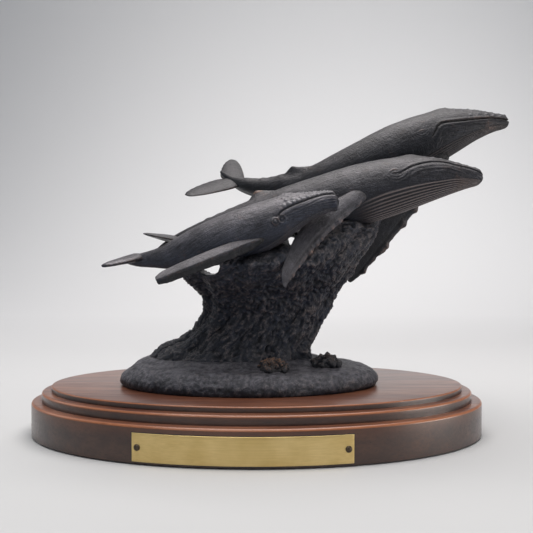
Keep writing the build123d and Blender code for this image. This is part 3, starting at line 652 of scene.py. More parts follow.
def flipper(whale, side, station, angle, way, faces):
    """One flipper, with its root just inside the body."""
    length, chord, sweep, scallop, outline = BLADES[whale["name"]]
    widths = through_rows(outline, 1, FLIPPER_RINGS) * chord
    thick = through_rows(outline, 2, FLIPPER_RINGS) * chord
    back = sweep * (widths - widths[0]) / 2
    rows = [(x * length * MM, -b * MM, 0.0, w / 2 * MM, h * MM)
            for x, b, w, h in zip(FLIPPER_RINGS, back, widths, thick)]
    blade = smooth_form(f"{whale['name']}_{side}_flipper_bronze", rows, BLADE_RING_VERTICES)
    points, normals = read_points(blade), read_normals(blade)
    x = np.clip(points[:, 0] / MM / length, 0, 1)
    half = through_rows(outline, 1, x) * chord / 2
    centre = -sweep * (2 * half - widths[0]) / 2
    across = np.clip((points[:, 1] / MM - centre) / half, -1, 1)
    edge = between(0.45, 0.95, across)
    knobs = edge_knobs(points, x, random.Random(len(side) + int(length)))
    points[:, 1] += (edge * (knobs - 0.45) * scallop * chord * between(1.0, 0.9, x)) * MM
    groove = bell(across - 0.50, 0.13) * between(0.12, 0.25, x) * between(0.97, 0.85, x)
    lump = bell(across - 0.72, 0.20) * knobs
    swell = (0.35 * edge * knobs + 0.45 * lump) * scallop * chord - 0.016 * chord * groove
    push(points, normals, swell + 0.06 * rough(points, 5 * MM))
    folded = between(0.25, 0.95, across) * between(0.0, 0.15, x)
    points[:, 2] -= whale["flipper_fold"] * chord * folded * MM
    clear = whale["flipper_fold"] > CLEAR_FOLD
    # Painted shade: on the calf, the folded-down leading strip is darkened like a crease.
    painted_shade_strip = between(0.50, 0.70, across + 0.12 * knobs) * clear
    rim = bell(across - 0.42, 0.14) * clear
    speck = 0.5 + 0.5 * rough(points, 3 * MM, 2)
    worn = edge * (0.30 + 0.60 * knobs) * (0.2 + 1.2 * speck) + 0.2 * between(-0.7, -0.98, across) * speck
    worn += 0.7 * rim * speck
    smooth = np.zeros(len(x))
    # The knobbed leading edge also gets a faint painted highlight.
    mark(blade, rub=np.clip(worn * (1 - 0.5 * painted_shade_strip), 0, 1),
         crease=np.clip(0.7 * between(0.08, 0.02, x) + 0.45 * groove + 0.85 * painted_shade_strip, 0, 1),
         shine=0.25 * edge * knobs * speck, throat=smooth, pleat=smooth, along=x * length, around=across * chord)
    root = body_spot(whale, station, angle, FLIPPER_ROOT_DEPTH)
    along = np.array(Vector(way).normalized())
    leading = np.array(Vector(faces).cross(Vector(way)).normalized())
    facing = np.cross(along, leading)
    write_points(blade, root * MM + points[:, 0:1] * along + points[:, 1:2] * leading + points[:, 2:3] * facing)
    return blade


def body_spot(whale, station, angle, depth):
    """A place on a body at a station and an angle from its left side, at a share of the way out, in millimetres."""
    t = np.array([station])
    wide, above, below = [float(size[0]) for size in girth_at(whale, t)]
    forward, left, up = [axis[0] for axis in spine_axes(whale, t)]
    turn = math.radians(angle)
    height = above if math.sin(turn) > 0 else below
    return spine_points(whale, t)[0] + (left * wide * math.cos(turn) + up * height * math.sin(turn)) * depth


flippers = {(row[0]["name"], row[1]): flipper(*row) for row in FLIPPERS}
print("flippers:", len(flippers), "with", len(EDGE_KNOBS), "knobs each")

# %% [markdown]
# ## Flukes
# The tail ends in two flat flukes with a notch between them. They are one ring pulled from tip to tip, plumper on
# the calf, and the notch is pushed into the trailing edge afterwards.

# %% Fluke shape
FLUKE_OUTLINE = (
    (0.00, 0.10, 0.58, 0.085), (0.22, 0.21, 0.64, 0.070), (0.46, 0.34, 0.60, 0.055),
    (0.70, 0.47, 0.49, 0.042), (0.88, 0.56, 0.35, 0.030), (1.00, 0.62, 0.17, 0.018),
)
FLUKE_RINGS = np.array([-1, -0.985, -0.95, -0.88, -0.78, -0.66, -0.54, -0.42, -0.31, -0.21, -0.12, -0.05,
                        0.05, 0.12, 0.21, 0.31, 0.42, 0.54, 0.66, 0.78, 0.88, 0.95, 0.985, 1])


def flukes(whale):
    """A pair of flukes, pulled from the left tip to the right."""
    half = whale["fluke_span"] / 2
    share = np.abs(FLUKE_RINGS)
    sweep = through_rows(FLUKE_OUTLINE, 1, share) * half * whale["fluke_sweep"]
    chord = through_rows(FLUKE_OUTLINE, 2, share) * half
    thick = through_rows(FLUKE_OUTLINE, 3, share) * half * (1 + 0.5 * whale["fluke_plump"]) + whale["fluke_plump"]
    rows = [(x * half * MM, -s * MM, 0.0, c / 2 * MM, h * MM)
            for x, s, c, h in zip(FLUKE_RINGS, sweep, chord, thick)]
    blade = smooth_form(whale["name"] + "_flukes_bronze", rows, BLADE_RING_VERTICES)
    points = read_points(blade)
    x = points[:, 0] / MM / half
    reach = np.clip(np.abs(x), 0, 1)
    middle = -through_rows(FLUKE_OUTLINE, 1, reach) * half * whale["fluke_sweep"]
    width = through_rows(FLUKE_OUTLINE, 2, reach) * half / 2
    across = np.clip((points[:, 1] / MM - middle) / width, -1, 1)
    trailing = between(-0.2, -0.95, across)
    notch = trailing * bell(x, 0.07) * 0.10 * half
    ripple = trailing * np.sin(x * 41.0) * 0.004 * half * between(0.1, 0.3, reach)
    points[:, 1] += (notch + ripple) * MM
    points[:, 2] += (whale["fluke_droop"] * half * (0.5 - reach) + 0.05 * rough(points, 5 * MM)) * MM
    smooth = np.zeros(len(x))
    mark(blade, rub=np.clip(0.45 * between(0.75, 0.98, across) + 0.4 * between(-0.75, -0.98, across), 0, 1),
         crease=smooth, shine=smooth, throat=smooth, pleat=smooth, along=points[:, 1] / MM, around=x * half)
    zero = np.array([0.0])
    root = spine_points(whale, zero)[0] * MM
    forward, left, up = [a[0] for a in axes(np.array([whale["fluke_pitch"]]), np.array([whale["yaw"][0]]),
                                            np.array([whale["fluke_roll"]]))]
    write_points(blade, root - points[:, 0:1] * left + points[:, 1:2] * forward + points[:, 2:3] * up)
    return blade


fluke_pairs = {whale["name"]: flukes(whale) for whale in WHALES}
print("flukes:", {name: len(pair.data.polygons) for name, pair in fluke_pairs.items()})

# %% [markdown]
# ## The reef
# The reef is a rough, stringy column that leans under the whales. Its main form is already in the CAD model, so a
# copy of that node is merged and remeshed into fine even faces, like a lump of clay, and then roughened with broad
# lumps, rocks, strands that follow the flare of the foot and the lean, and grit. Two openings that let light
# through are kept open, and the skin stays over the pins that hold the whales.

# %% Clay copies of CAD nodes
def clay_copy(node, name, voxel):
    """A copy of a CAD node with its triangles joined and remeshed evenly."""
    pick(frame["nodes"][node])
    bpy.ops.object.duplicate()
    copy = bpy.context.object
    copy.name = name
    edit_all()
    bpy.ops.mesh.remove_doubles(threshold=1e-6)
    bpy.ops.object.mode_set(mode="OBJECT")
    apply_modifier(copy, "REMESH", mode="VOXEL", voxel_size=voxel)
    apply_modifier(copy, "SMOOTH", factor=0.5, iterations=10)
    copy.data.materials.clear()
    bpy.ops.object.shade_smooth()
    return copy


reef = clay_copy("reef_column", "reef_bronze", 0.95 * MM)
print("reef:", len(reef.data.polygons), "faces")

# %% Flow of the reef
MOUND_TOP = 47.0
ROOM = 6.0
# Middle and half width of the reef, each as levels and their values
REEF_MIDDLE = ((47, 53, 60, 72, 85, 105, 130, 160, 180), (-17, -15, -11, 0, 7.5, 9, 24, 58, 80))
REEF_FLARE = ((47, 53, 60, 72, 85), (57, 52, 46, 42, 41))
REEF_HALF_WIDTH = 41
# X, level and reach of each opening
REEF_OPENINGS = ((-29.5, 109.5, 9.0), (25.0, 128.0, 7.5))
FOOT_HUMP = np.array([-63, -8, 58])


def reef_across(x, z):
    """Places across the reef, straightened and drawn out where its foot flares, in millimetres."""
    return (x - np.interp(z, *REEF_MIDDLE)) * REEF_HALF_WIDTH / np.interp(z, *REEF_FLARE)


def nearest_room(points, pieces):
    """Distance in millimetres from each point to the nearest of some pieces, up to ROOM."""
    room = np.full(len(points), ROOM)
    for piece in pieces:
        tree = BVHTree.FromPolygons([v.co for v in piece.data.vertices], [p.vertices for p in piece.data.polygons])
        for i, p in enumerate(points):
            distance = tree.find_nearest(Vector(p), ROOM * MM)[3]
            if distance is not None:
                room[i] = min(room[i], distance / MM)
    return room

# %% Roughen the reef
def roughen_reef(piece):
    """Lumps, rocks, strands and grit, held back where a whale or flipper lies close."""
    points, normals = read_points(piece), read_normals(piece)
    straight = points.copy()
    level = points[:, 2] / MM
    straight[:, 0] = reef_across(points[:, 0] / MM, level) * MM
    lumps = rough(points, 13 * MM, 2)
    warped = straight + 2.2 * MM * np.stack([rough(points + shift * MM, 9 * MM, 2) for shift in (0, 50, 90)], axis=-1)
    rocks = np.abs(rough(points, 5.0 * MM, 3))
    strands = np.abs(rough(warped * np.array([1, 1, 0.22]), 2.5 * MM, 2))
    grit = rough(points, 1.5 * MM, 2)
    foot = between(72, 54, level)
    hump = bell(np.linalg.norm(points / MM - FOOT_HUMP, axis=1), 9)
    room = nearest_room(points, list(flippers.values()) + list(bodies.values()))
    free = between(0.4, 3.5, room)
    height = 1.2 * lumps * free + (0.7 - 2.0 * rocks) * (0.3 + 0.7 * free) * (1 - 0.7 * foot)
    height += (0.8 - 2.6 * strands) * (0.35 + 0.65 * free) + 0.55 * grit * free + 5.5 * hump
    height *= between(46.5, 51.0, level)
    height += 0.9 * bell(room, 1.2)
    seat_pins = [frame["nodes"][name + "_seat_pins"] for name in ("calf", "mother")]
    pins_near = bell(nearest_room(points, seat_pins), 3.5)
    height = height * (1 - pins_near) + 0.6 * pins_near
    for x, z, reach in REEF_OPENINGS:
        opening = bell(np.hypot(points[:, 0] / MM - x, level - z), reach) * between(26, 16, points[:, 1] / MM)
        height = height * (1 - opening) - 1.3 * opening
    push(points, normals, height)
    points[:, 2] = np.maximum(points[:, 2], (MOUND_TOP - 3) * MM)
    write_points(piece, points)
    mark(piece, rub=np.clip(0.85 - 1.8 * strands - 0.9 * rocks + 0.25 * lumps + 0.4 * grit, 0, 1),
         crease=np.clip(between(0.25, 0.70, strands) * 0.6 + between(0.30, 0.80, rocks) * 0.7, 0, 1))


roughen_reef(reef)
print("reef roughened:", [round(v / MM) for v in reef.dimensions])

# %% [markdown]
# ## The sandy mound
# Under the reef is a low mound with a stippled, sandy skin. A ring is pulled up through the mound's profile and
# closed, remeshed like clay, stippled with three sizes of noise, and heaped a little against the reef's foot.

# %% Mound
MOUND = dict(length=176.0, depth=112.0, height=14.0, x=-5.5, y=-3.0, foot=33.0)
REEF_FOOT = dict(x=-17, y=-1, half_length=60, half_depth=33)
MOUND_PROFILE = ((0.0, 0.975), (0.16, 0.995), (0.32, 1.0), (0.5, 0.99), (0.64, 0.97), (0.78, 0.94), (0.88, 0.905),
                 (0.96, 0.86), (1.0, 0.80), (1.01, 0.6), (1.01, 0.3))


def make_mound():
    """The mound as one closed lump of clay."""
    clear_selection()
    bpy.ops.mesh.primitive_circle_add(vertices=72, radius=1.0, fill_type="NGON")
    mound = bpy.context.object
    mound.name = "mound_bronze"
    edit_all()
    size = (MOUND["length"] / 2 * MM, MOUND["depth"] / 2 * MM)
    bpy.ops.transform.resize(value=(size[0] * MOUND_PROFILE[0][1], size[1] * MOUND_PROFILE[0][1], 1))
    bpy.ops.transform.translate(value=(MOUND["x"] * MM, MOUND["y"] * MM, MOUND["foot"] * MM))
    for before, after in zip(MOUND_PROFILE, MOUND_PROFILE[1:]):
        rise = (after[0] - before[0]) * MOUND["height"] * MM
        pull((0, 0, rise))
        level = MOUND["foot"] * MM + after[0] * MOUND["height"] * MM
        bpy.ops.transform.resize(value=(after[1] / before[1], after[1] / before[1], 1),
                                 center_override=(MOUND["x"] * MM, MOUND["y"] * MM, level))
    face_outward()
    bpy.ops.object.mode_set(mode="OBJECT")
    apply_modifier(mound, "REMESH", mode="VOXEL", voxel_size=0.9 * MM)
    bpy.ops.object.shade_smooth()
    return mound


def stipple_mound(piece):
    """A sandy skin, with sand heaped against the reef's foot."""
    points, normals = read_points(piece), read_normals(piece)
    foot = MOUND["foot"]
    swells, stipple = rough(points, 26 * MM, 2), rough(points, 2.4 * MM, 2)
    dents = np.abs(rough(points, 6.0 * MM, 2))
    above_foot = between(foot + 0.2, foot + 3.0, points[:, 2] / MM)
    push(points, normals, above_foot * (1.0 * swells + 0.40 * stipple - 0.5 * dents))
    from_reef = np.hypot((points[:, 0] / MM - REEF_FOOT["x"]) / REEF_FOOT["half_length"],
                         (points[:, 1] / MM - REEF_FOOT["y"]) / REEF_FOOT["half_depth"])
    heap = 2.2 * between(1.35, 1.0, from_reef) + 2.0 * between(1.15, 0.95, from_reef)
    points[:, 2] += heap * between(foot + 10, foot + 13, points[:, 2] / MM) * MM
    write_points(piece, points)
    mark(piece, rub=np.clip(0.40 + 0.75 * stipple - 0.5 * dents, 0, 1), crease=np.clip(0.3 - 0.9 * stipple, 0, 1))


mound = make_mound()
stipple_mound(mound)
print("mound:", len(mound.data.polygons), "faces")

# %% [markdown]
# ## Coral heads
# Beside the reef's foot sit two knobbly corals, rubbed brown on top. Each is a heap of small rounded knobs joined
# into one lump and remeshed, so that they melt together like cast metal.

# %% Corals
CORAL_KNOBS = 52
# Node, seed, size of the knobs and strength of the brown
CORALS = (("coral_cluster_front", 3, 1.0, 1.35), ("coral_cluster_right", 8, 1.15, 0.5))


def coral(node, seed, branch, browned):
    """A heap of knobs in the room of a CAD coral."""
    low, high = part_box(node)
    dice = random.Random(seed)
    centre, half = (low + high) / 2, (high - low) / 2
    clear_selection()
    knobs = []
    for _ in range(CORAL_KNOBS):
        turn, out = dice.uniform(0, 2 * math.pi), math.sqrt(dice.uniform(0, 1))
        x, y = centre.x + half.x * out * math.cos(turn), centre.y + 0.95 * half.y * out * math.sin(turn)
        z = low.z + (high.z - low.z) * (0.86 - 0.62 * out ** 2) * dice.uniform(0.75, 1.0)
        radius = dice.uniform(1.1, 1.9) * MM * branch
        bpy.ops.mesh.primitive_ico_sphere_add(subdivisions=2, radius=radius, location=(x, y, z - 0.4 * radius))
        bpy.ops.transform.resize(value=(1, 1, dice.uniform(1.0, 1.6)))
        knobs.append(bpy.context.object)
    bpy.ops.mesh.primitive_ico_sphere_add(subdivisions=3, radius=1.0, location=(centre.x, centre.y, low.z))
    bpy.ops.transform.resize(value=(0.80 * half.x, 0.80 * half.y, 1.15 * half.z))
    heap = bpy.context.object
    for knob in knobs:
        knob.select_set(True)
    bpy.ops.object.join()
    heap.name = node + "_bronze"
    bpy.ops.object.transform_apply(location=True, rotation=True, scale=True)
    apply_modifier(heap, "REMESH", mode="VOXEL", voxel_size=0.42 * MM)
    bpy.ops.object.shade_smooth()
    points, normals = read_points(heap), read_normals(heap)
    pits = rough(points, 1.3 * MM, 2)
    push(points, normals, 0.45 * pits)
    points[:, 2] = np.maximum(points[:, 2], low.z - 1.5 * MM)
    write_points(heap, points)
    up = np.clip((points[:, 2] - low.z) / (high.z - low.z), 0, 1)
    mark(heap, rub=np.clip(browned * (0.9 * up - 0.15 + 0.7 * pits), 0, 1),
         crease=np.clip(0.6 - up - 0.6 * pits, 0, 1))
    return heap


corals = {row[0]: coral(*row) for row in CORALS}
print("corals:", {name: len(heap.data.polygons) for name, heap in corals.items()})

# %% [markdown]
# ## The plinth
# The plinth is one oval board turned into three steps with rounded edges. A many-sided circle is scaled to an
# oval, pulled up, drawn in for each ledge, and the three upper edges are rounded with the bevel operator.

# %% Plinth
PLINTH = dict(length=305.0, depth=194.0, bottom=1.0)
# Top, ledge and edge round of each tier
PLINTH_TIERS = ((23.1, 6.7, 1.7), (29.3, 6.4, 1.5), (33.0, 0.0, 0.9))


def make_plinth():
    """The stepped oval board."""
    clear_selection()
    bpy.ops.mesh.primitive_circle_add(vertices=256, radius=1.0, fill_type="NGON")
    board = bpy.context.object
    board.name = "plinth_wood"
    edit_all()
    half = [PLINTH["length"] / 2 * MM, PLINTH["depth"] / 2 * MM]
    bpy.ops.transform.resize(value=(half[0], half[1], 1))
    bpy.ops.transform.translate(value=(0, 0, PLINTH["bottom"] * MM))
    level = PLINTH["bottom"]
    for top, ledge, _ in PLINTH_TIERS:
        pull((0, 0, (top - level) * MM))
        level = top
        if ledge:
            pull((0, 0, 0))
            drawn = [(size - ledge * MM) / size for size in half]
            bpy.ops.transform.resize(value=(drawn[0], drawn[1], 1), center_override=(0, 0, level * MM))
            half = [size - ledge * MM for size in half]
    face_outward()
    inset = 0.0
    for top, ledge, radius in PLINTH_TIERS:
        a, b = PLINTH["length"] / 2 - inset, PLINTH["depth"] / 2 - inset
        select_vertices(board, lambda co: abs(co.z - top * MM) < 1e-6
                        and abs((co.x / a / MM) ** 2 + (co.y / b / MM) ** 2 - 1) < 1e-3)
        bpy.ops.mesh.bevel(offset=radius * MM, segments=5, affect="EDGES")
        inset += ledge
    bpy.ops.object.mode_set(mode="OBJECT")
    bpy.ops.object.shade_smooth_by_angle(angle=math.radians(32))
    return board


plinth = make_plinth()
print("plinth:", len(plinth.data.polygons), "faces", [round(v / MM) for v in plinth.dimensions])

# %% [markdown]
# ## The brass plate and its pins
# The plate is a thin strip bent to the curve of the front. A grid is pulled to its thickness and its edges are
# bevelled while it is still flat; then its points are laid on the oval. Two domed pins hold it.

# %% Plate
PLATE = dict(width=127.8, height=16.7, thickness=1.2, recess=0.7, offset=-7.2, foot=2.0)
PLATE_X, PLATE_Z = PLATE["offset"], PLATE["foot"] + PLATE["height"] / 2
PLATE_BED = (PLATE["width"] / 2 + 0.45, PLATE["height"] / 2 + 0.45)


def on_front(x, proud):
    """The Y of the plinth's front at an X, that far proud of the plate's bed, in millimetres."""
    a, b = PLINTH["length"] / 2 - PLATE["recess"] + proud, PLINTH["depth"] / 2 - PLATE["recess"] + proud
    return -b * np.sqrt(1 - (x / a) ** 2)


def make_plate():
    """The bare brass plate."""
    clear_selection()
    bpy.ops.mesh.primitive_grid_add(x_subdivisions=96, y_subdivisions=8, size=1.0)
    plate = bpy.context.object
    plate.name = "plate_brass"
    edit_all()
    bpy.ops.transform.resize(value=(PLATE["width"] * MM, PLATE["height"] * MM, 1))
    pull((0, 0, PLATE["thickness"] * MM))
    face_outward()
    top = PLATE["thickness"] * MM - 1e-6
    half = (PLATE["width"] / 2 * MM - 1e-6, PLATE["height"] / 2 * MM - 1e-6)
    select_vertices(plate, lambda co: co.z > top and (abs(co.x) > half[0] or abs(co.y) > half[1]))
    bpy.ops.mesh.bevel(offset=0.3 * MM, segments=3, affect="EDGES")
    bpy.ops.object.mode_set(mode="OBJECT")
    bpy.ops.object.shade_smooth_by_angle(angle=math.radians(40))
    flat = read_points(plate) / MM
    x = flat[:, 0] + PLATE["offset"]
    laid = np.stack([x, on_front(x, flat[:, 2]), flat[:, 1] + PLATE["foot"] + PLATE["height"] / 2], axis=-1)
    write_points(plate, laid * MM)
    return plate


plate = make_plate()
print("plate:", [round(v / MM, 1) for v in plate.dimensions])

# %% Pins
PIN_INSET, PIN_RADIUS, PIN_DOME = 3.2, 2.0, 0.65


def make_pins():
    """Two domed pin heads, seated on the plate."""
    heads = []
    for side in (-1, 1):
        x = PLATE["offset"] + side * (PLATE["width"] / 2 - PIN_INSET)
        y = float(on_front(x, PLATE["thickness"]))
        turn = math.atan2(-y / (PLINTH["depth"] / 2) ** 2, x / (PLINTH["length"] / 2) ** 2)
        clear_selection()
        bpy.ops.mesh.primitive_uv_sphere_add(segments=32, ring_count=16, radius=PIN_RADIUS * MM)
        head = bpy.context.object
        edit_all()
        bpy.ops.mesh.bisect(plane_co=(0, 0, 0), plane_no=(0, 0, 1), clear_inner=True, use_fill=True)
        bpy.ops.mesh.select_all(action="SELECT")
        bpy.ops.transform.resize(value=(1, 1, PIN_DOME), center_override=(0, 0, 0))
        bpy.ops.object.mode_set(mode="OBJECT")
        head.rotation_euler = (math.pi / 2, 0, math.pi / 2 - turn)
        head.location = (x * MM, y * MM, PLATE_Z * MM)
        bpy.ops.object.transform_apply(location=True, rotation=True, scale=True)
        bpy.ops.object.shade_smooth_by_angle(angle=math.radians(50))
        heads.append(head)
    pick(heads[1])
    heads[0].select_set(True)
    bpy.ops.object.join()
    pins = bpy.context.object
    pins.name = "plate_pin_heads"
    return pins


pins = make_pins()
print("pins:", [round(v / MM, 1) for v in pins.dimensions])

# %% [markdown]
# ## Finishes
# Materials are node trees. A few small helpers keep them readable: one makes a node and sets its inputs, one joins
# sockets. Patterns read Object coordinates, in metres, or the numbers that were kept on the vertices.

# %% Node helpers
class Finish:
    """A material with its shader, and short ways to add and join nodes."""

    def __init__(self, name):
        self.material = bpy.data.materials.new(name)
        self.material.use_nodes = True
        self.tree = self.material.node_tree
        self.shader = self.tree.nodes["Principled BSDF"]

    def node(self, kind, inputs=None, **settings):
        made = self.tree.nodes.new("ShaderNode" + kind)
        for name, value in settings.items():
            setattr(made, name, value)
        for name, value in (inputs or {}).items():
            self.put(made.inputs[name], value)
        return made

    def put(self, socket, value):
        if isinstance(value, bpy.types.NodeSocket):
            self.tree.links.new(value, socket)
        else:
            socket.default_value = value

    def place(self, scale=(1, 1, 1)):
        """Object coordinates scaled by three numbers."""
        coordinates = self.node("TexCoord").outputs["Object"]
        return self.node("Mapping", {"Vector": coordinates, "Scale": scale}).outputs["Vector"]

    def noise(self, vector, scale, detail=3.0, roughness=0.55):
        return self.node("TexNoise", {"Vector": vector, "Scale": scale, "Detail": detail,
                                      "Roughness": roughness}).outputs["Fac"]

    def number(self, name):
        """A number kept on the vertices."""
        return self.node("Attribute", attribute_name=name).outputs["Fac"]

    def math(self, operation, first, second=0.0):
        made = self.node("Math", operation=operation)
        self.put(made.inputs[0], first)
        self.put(made.inputs[1], second)
        return made.outputs[0]

    def spread(self, value, low, high, start=0.0, end=1.0):
        """A value taken from one range to another, and kept inside it."""
        return self.node("MapRange", {"Value": value, "From Min": low, "From Max": high, "To Min": start,
                                      "To Max": end}).outputs["Result"]

    def blend(self, share, first, second):
        made = self.node("Mix", data_type="RGBA")
        self.put(made.inputs[0], share)
        self.put(made.inputs[6], first)
        self.put(made.inputs[7], second)
        return made.outputs[2]

    def shade(self, colour, factor):
        """A colour made lighter or darker."""
        return self.node("VectorMath", {"Vector": colour, "Scale": factor}, operation="SCALE").outputs["Vector"]

    def bump(self, height, strength, distance, under=None):
        inputs = {"Height": height, "Strength": strength, "Distance": distance}
        if under:
            inputs["Normal"] = under
        return self.node("Bump", inputs).outputs["Normal"]

    def surface(self, colour, roughness, normal, metallic=0.0):
        """Gives the shader its colour, roughness, normal and metal, and returns the material."""
        looks = {"Base Color": colour, "Roughness": roughness, "Normal": normal, "Metallic": metallic}
        for name, value in looks.items():
            self.put(self.shader.inputs[name], value)
        return self.material


def rgb(red, green, blue):
    return (red, green, blue, 1.0)

print("node helpers ready")

# %% [markdown]
# ### Whale bronze
# The bronze has a near-black patina, with a cool painted shade where it faces down and painted light where it faces
# up. It is rubbed brown on raised edges and stays black in the creases, and each whale is painted lighter or darker
# for the light it gets. Knobs, brows and eyes carry a painted grey highlight. Faint brush marks run along the body.
# The throat's pleats are drawn from the pleat number kept on the vertices, with a painted highlight on their ridges
# and painted shade in their valleys.

# %% Whale bronze
def whale_bronze(name, tone, pleat_painted_light):
    finish = Finish(name)
    cloud = finish.noise(finish.place(), 90.0, 4.0)
    grain = finish.noise(finish.place(), 900.0, 3.0)
    lay = finish.node("CombineXYZ", {"X": finish.math("MULTIPLY", finish.number("along"), 0.12),
                                     "Y": finish.math("MULTIPLY", finish.number("around"), 1.6)}).outputs[0]
    brushed = finish.noise(lay, 1.0, 3.0, 0.6)
    speck = finish.noise(finish.place(), 1700.0, 2.0)
    # Painted light and shade: a cool near-black where the skin faces down, a lighter grey where it faces up.
    facing = finish.spread(finish.number("up"), -0.3, 0.8)
    dark = finish.blend(facing, rgb(0.012, 0.0145, 0.022), rgb(0.056, 0.052, 0.056))
    # Painted light and shade: each whale's tone makes its patina lighter or darker for the light it gets.
    dark = finish.shade(dark, finish.spread(cloud, 0.35, 0.70, 0.75 * tone, 1.3 * tone))
    dark = finish.shade(dark, finish.spread(brushed, 0.35, 0.75, 0.65, 1.85))
    dark = finish.shade(dark, finish.spread(speck, 0.3, 0.7, 0.6, 1.45))
    wear = finish.math("MULTIPLY", finish.number("rub"), finish.spread(grain, 0.30, 0.62))
    worn = finish.blend(finish.spread(wear, 0.15, 0.85, 0.0, 0.75), dark, rgb(0.160, 0.088, 0.058))
    # On top of the brown wear, a painted highlight turns knobs, brows, eyes and knobbed edges a light grey.
    worn = finish.blend(finish.math("MULTIPLY", finish.number("shine"), 0.7), worn, rgb(0.190, 0.190, 0.205))
    # Painted highlight on the pleat ridges and painted shade in their valleys.
    wave = finish.math("COSINE", finish.math("MULTIPLY", finish.number("pleat"), 2 * math.pi))
    valley = finish.math("MULTIPLY", finish.spread(wave, 0.2, 1.0), finish.number("throat"))
    ridge = finish.math("MULTIPLY", finish.spread(wave, 0.1, -0.9), finish.number("throat"))
    pleated = finish.blend(finish.math("MULTIPLY", ridge, 0.62), worn, rgb(0.200 * pleat_painted_light, 0.165 * pleat_painted_light, 0.158 * pleat_painted_light))
    pleated = finish.blend(finish.math("MULTIPLY", valley, 0.45), pleated, rgb(0.026 * pleat_painted_light, 0.022 * pleat_painted_light, 0.023 * pleat_painted_light))
    creased = finish.blend(finish.math("MULTIPLY", finish.number("crease"), 0.85), pleated, rgb(0.008, 0.008, 0.008))
    pits = finish.noise(finish.place(), 420.0, 3.0, 0.6)
    skin = finish.bump(grain, 0.45, 0.0007)
    skin = finish.bump(pits, 0.35, 0.0010, skin)
    skin = finish.bump(brushed, 0.35, 0.0009, skin)
    skin = finish.bump(finish.math("MULTIPLY", wave, finish.number("throat")), -0.5, 0.0003, skin)
    return finish.surface(creased, finish.spread(brushed, 0.3, 0.7, 0.32, 0.46), skin, 0.45)


# Painted light of each whale, lighter or darker for the light it gets, and strength of the painted light on the pleats
PAINTED_LIGHT_OF_WHALES = {"mother": (0.80, 1.15), "escort": (0.62, 0.30), "calf": (1.65, 0.30), "flipper": (1.45, 1.0)}
bronze_of_whales = {name: whale_bronze(name + "_bronze", *tones) for name, tones in PAINTED_LIGHT_OF_WHALES.items()}
print(list(bronze_of_whales))

# %% [markdown]
# ### Reef, mound and coral bronze
# The reef takes the same patina but is rough and dull: black between the strands and a little browner on them.
# Like the whales, reef, mound and corals are painted lighter where they face up and darker where they face down.
# The corals are rubbed much further, almost to a warm brown.

# %% Reef bronze
def rough_bronze(name, low, high, worn, share, roughness):
    finish = Finish(name)
    cloud = finish.noise(finish.place(), 120.0, 4.0)
    grit = finish.noise(finish.place(), 1100.0, 4.0, 0.65)
    # Painted light and shade: lighter where the skin faces up, darker where it faces down.
    dark = finish.blend(finish.spread(finish.number("up"), -0.1, 0.9), low, high)
    dark = finish.shade(dark, finish.spread(cloud, 0.35, 0.68, 0.7, 1.35))
    dark = finish.shade(dark, finish.spread(grit, 0.35, 0.65, 0.6, 1.5))
    wear = finish.math("MULTIPLY", finish.number("rub"), finish.spread(grit, 0.32, 0.60))
    coloured = finish.blend(finish.spread(wear, 0.15, 0.80, 0.0, share), dark, worn)
    coloured = finish.blend(finish.math("MULTIPLY", finish.number("crease"), 0.8), coloured, rgb(0.006, 0.006, 0.007))
    chips = finish.node("TexVoronoi", {"Vector": finish.place((1, 1, 0.6)), "Scale": 420.0}).outputs["Distance"]
    skin = finish.bump(chips, -0.75, 0.0015)
    sheen = finish.spread(grit, 0.3, 0.7, roughness - 0.08, roughness + 0.10)
    return finish.surface(coloured, sheen, finish.bump(grit, 0.80, 0.0010, skin), 0.25)


# The first two colours of each are the painted shade facing down and the painted light facing up.
bronze_of_reef = rough_bronze("reef_bronze", rgb(0.008, 0.013, 0.026), rgb(0.034, 0.035, 0.042),
                              rgb(0.150, 0.124, 0.118), 0.8, 0.40)
bronze_of_mound = rough_bronze("mound_bronze", rgb(0.014, 0.018, 0.030), rgb(0.115, 0.112, 0.128),
                               rgb(0.170, 0.145, 0.140), 0.6, 0.42)
bronze_of_coral = rough_bronze("coral_bronze", rgb(0.014, 0.016, 0.023), rgb(0.045, 0.040, 0.041),
                               rgb(0.200, 0.105, 0.060), 0.85, 0.46)
print(bronze_of_reef.name, bronze_of_mound.name, bronze_of_coral.name)

# %% [markdown]
# ### Wood, brass, pins, felt and steel
# The board's grain runs along X, so its noise is stretched that way: broad bands, fine streaks and short dark
# pores. The tops carry a little painted light and the upright sides painted shade, the rounded edges carry a
# painted orange highlight, and a painted shadow makes the plate's bed nearly black. The brass is brushed along
# its length.

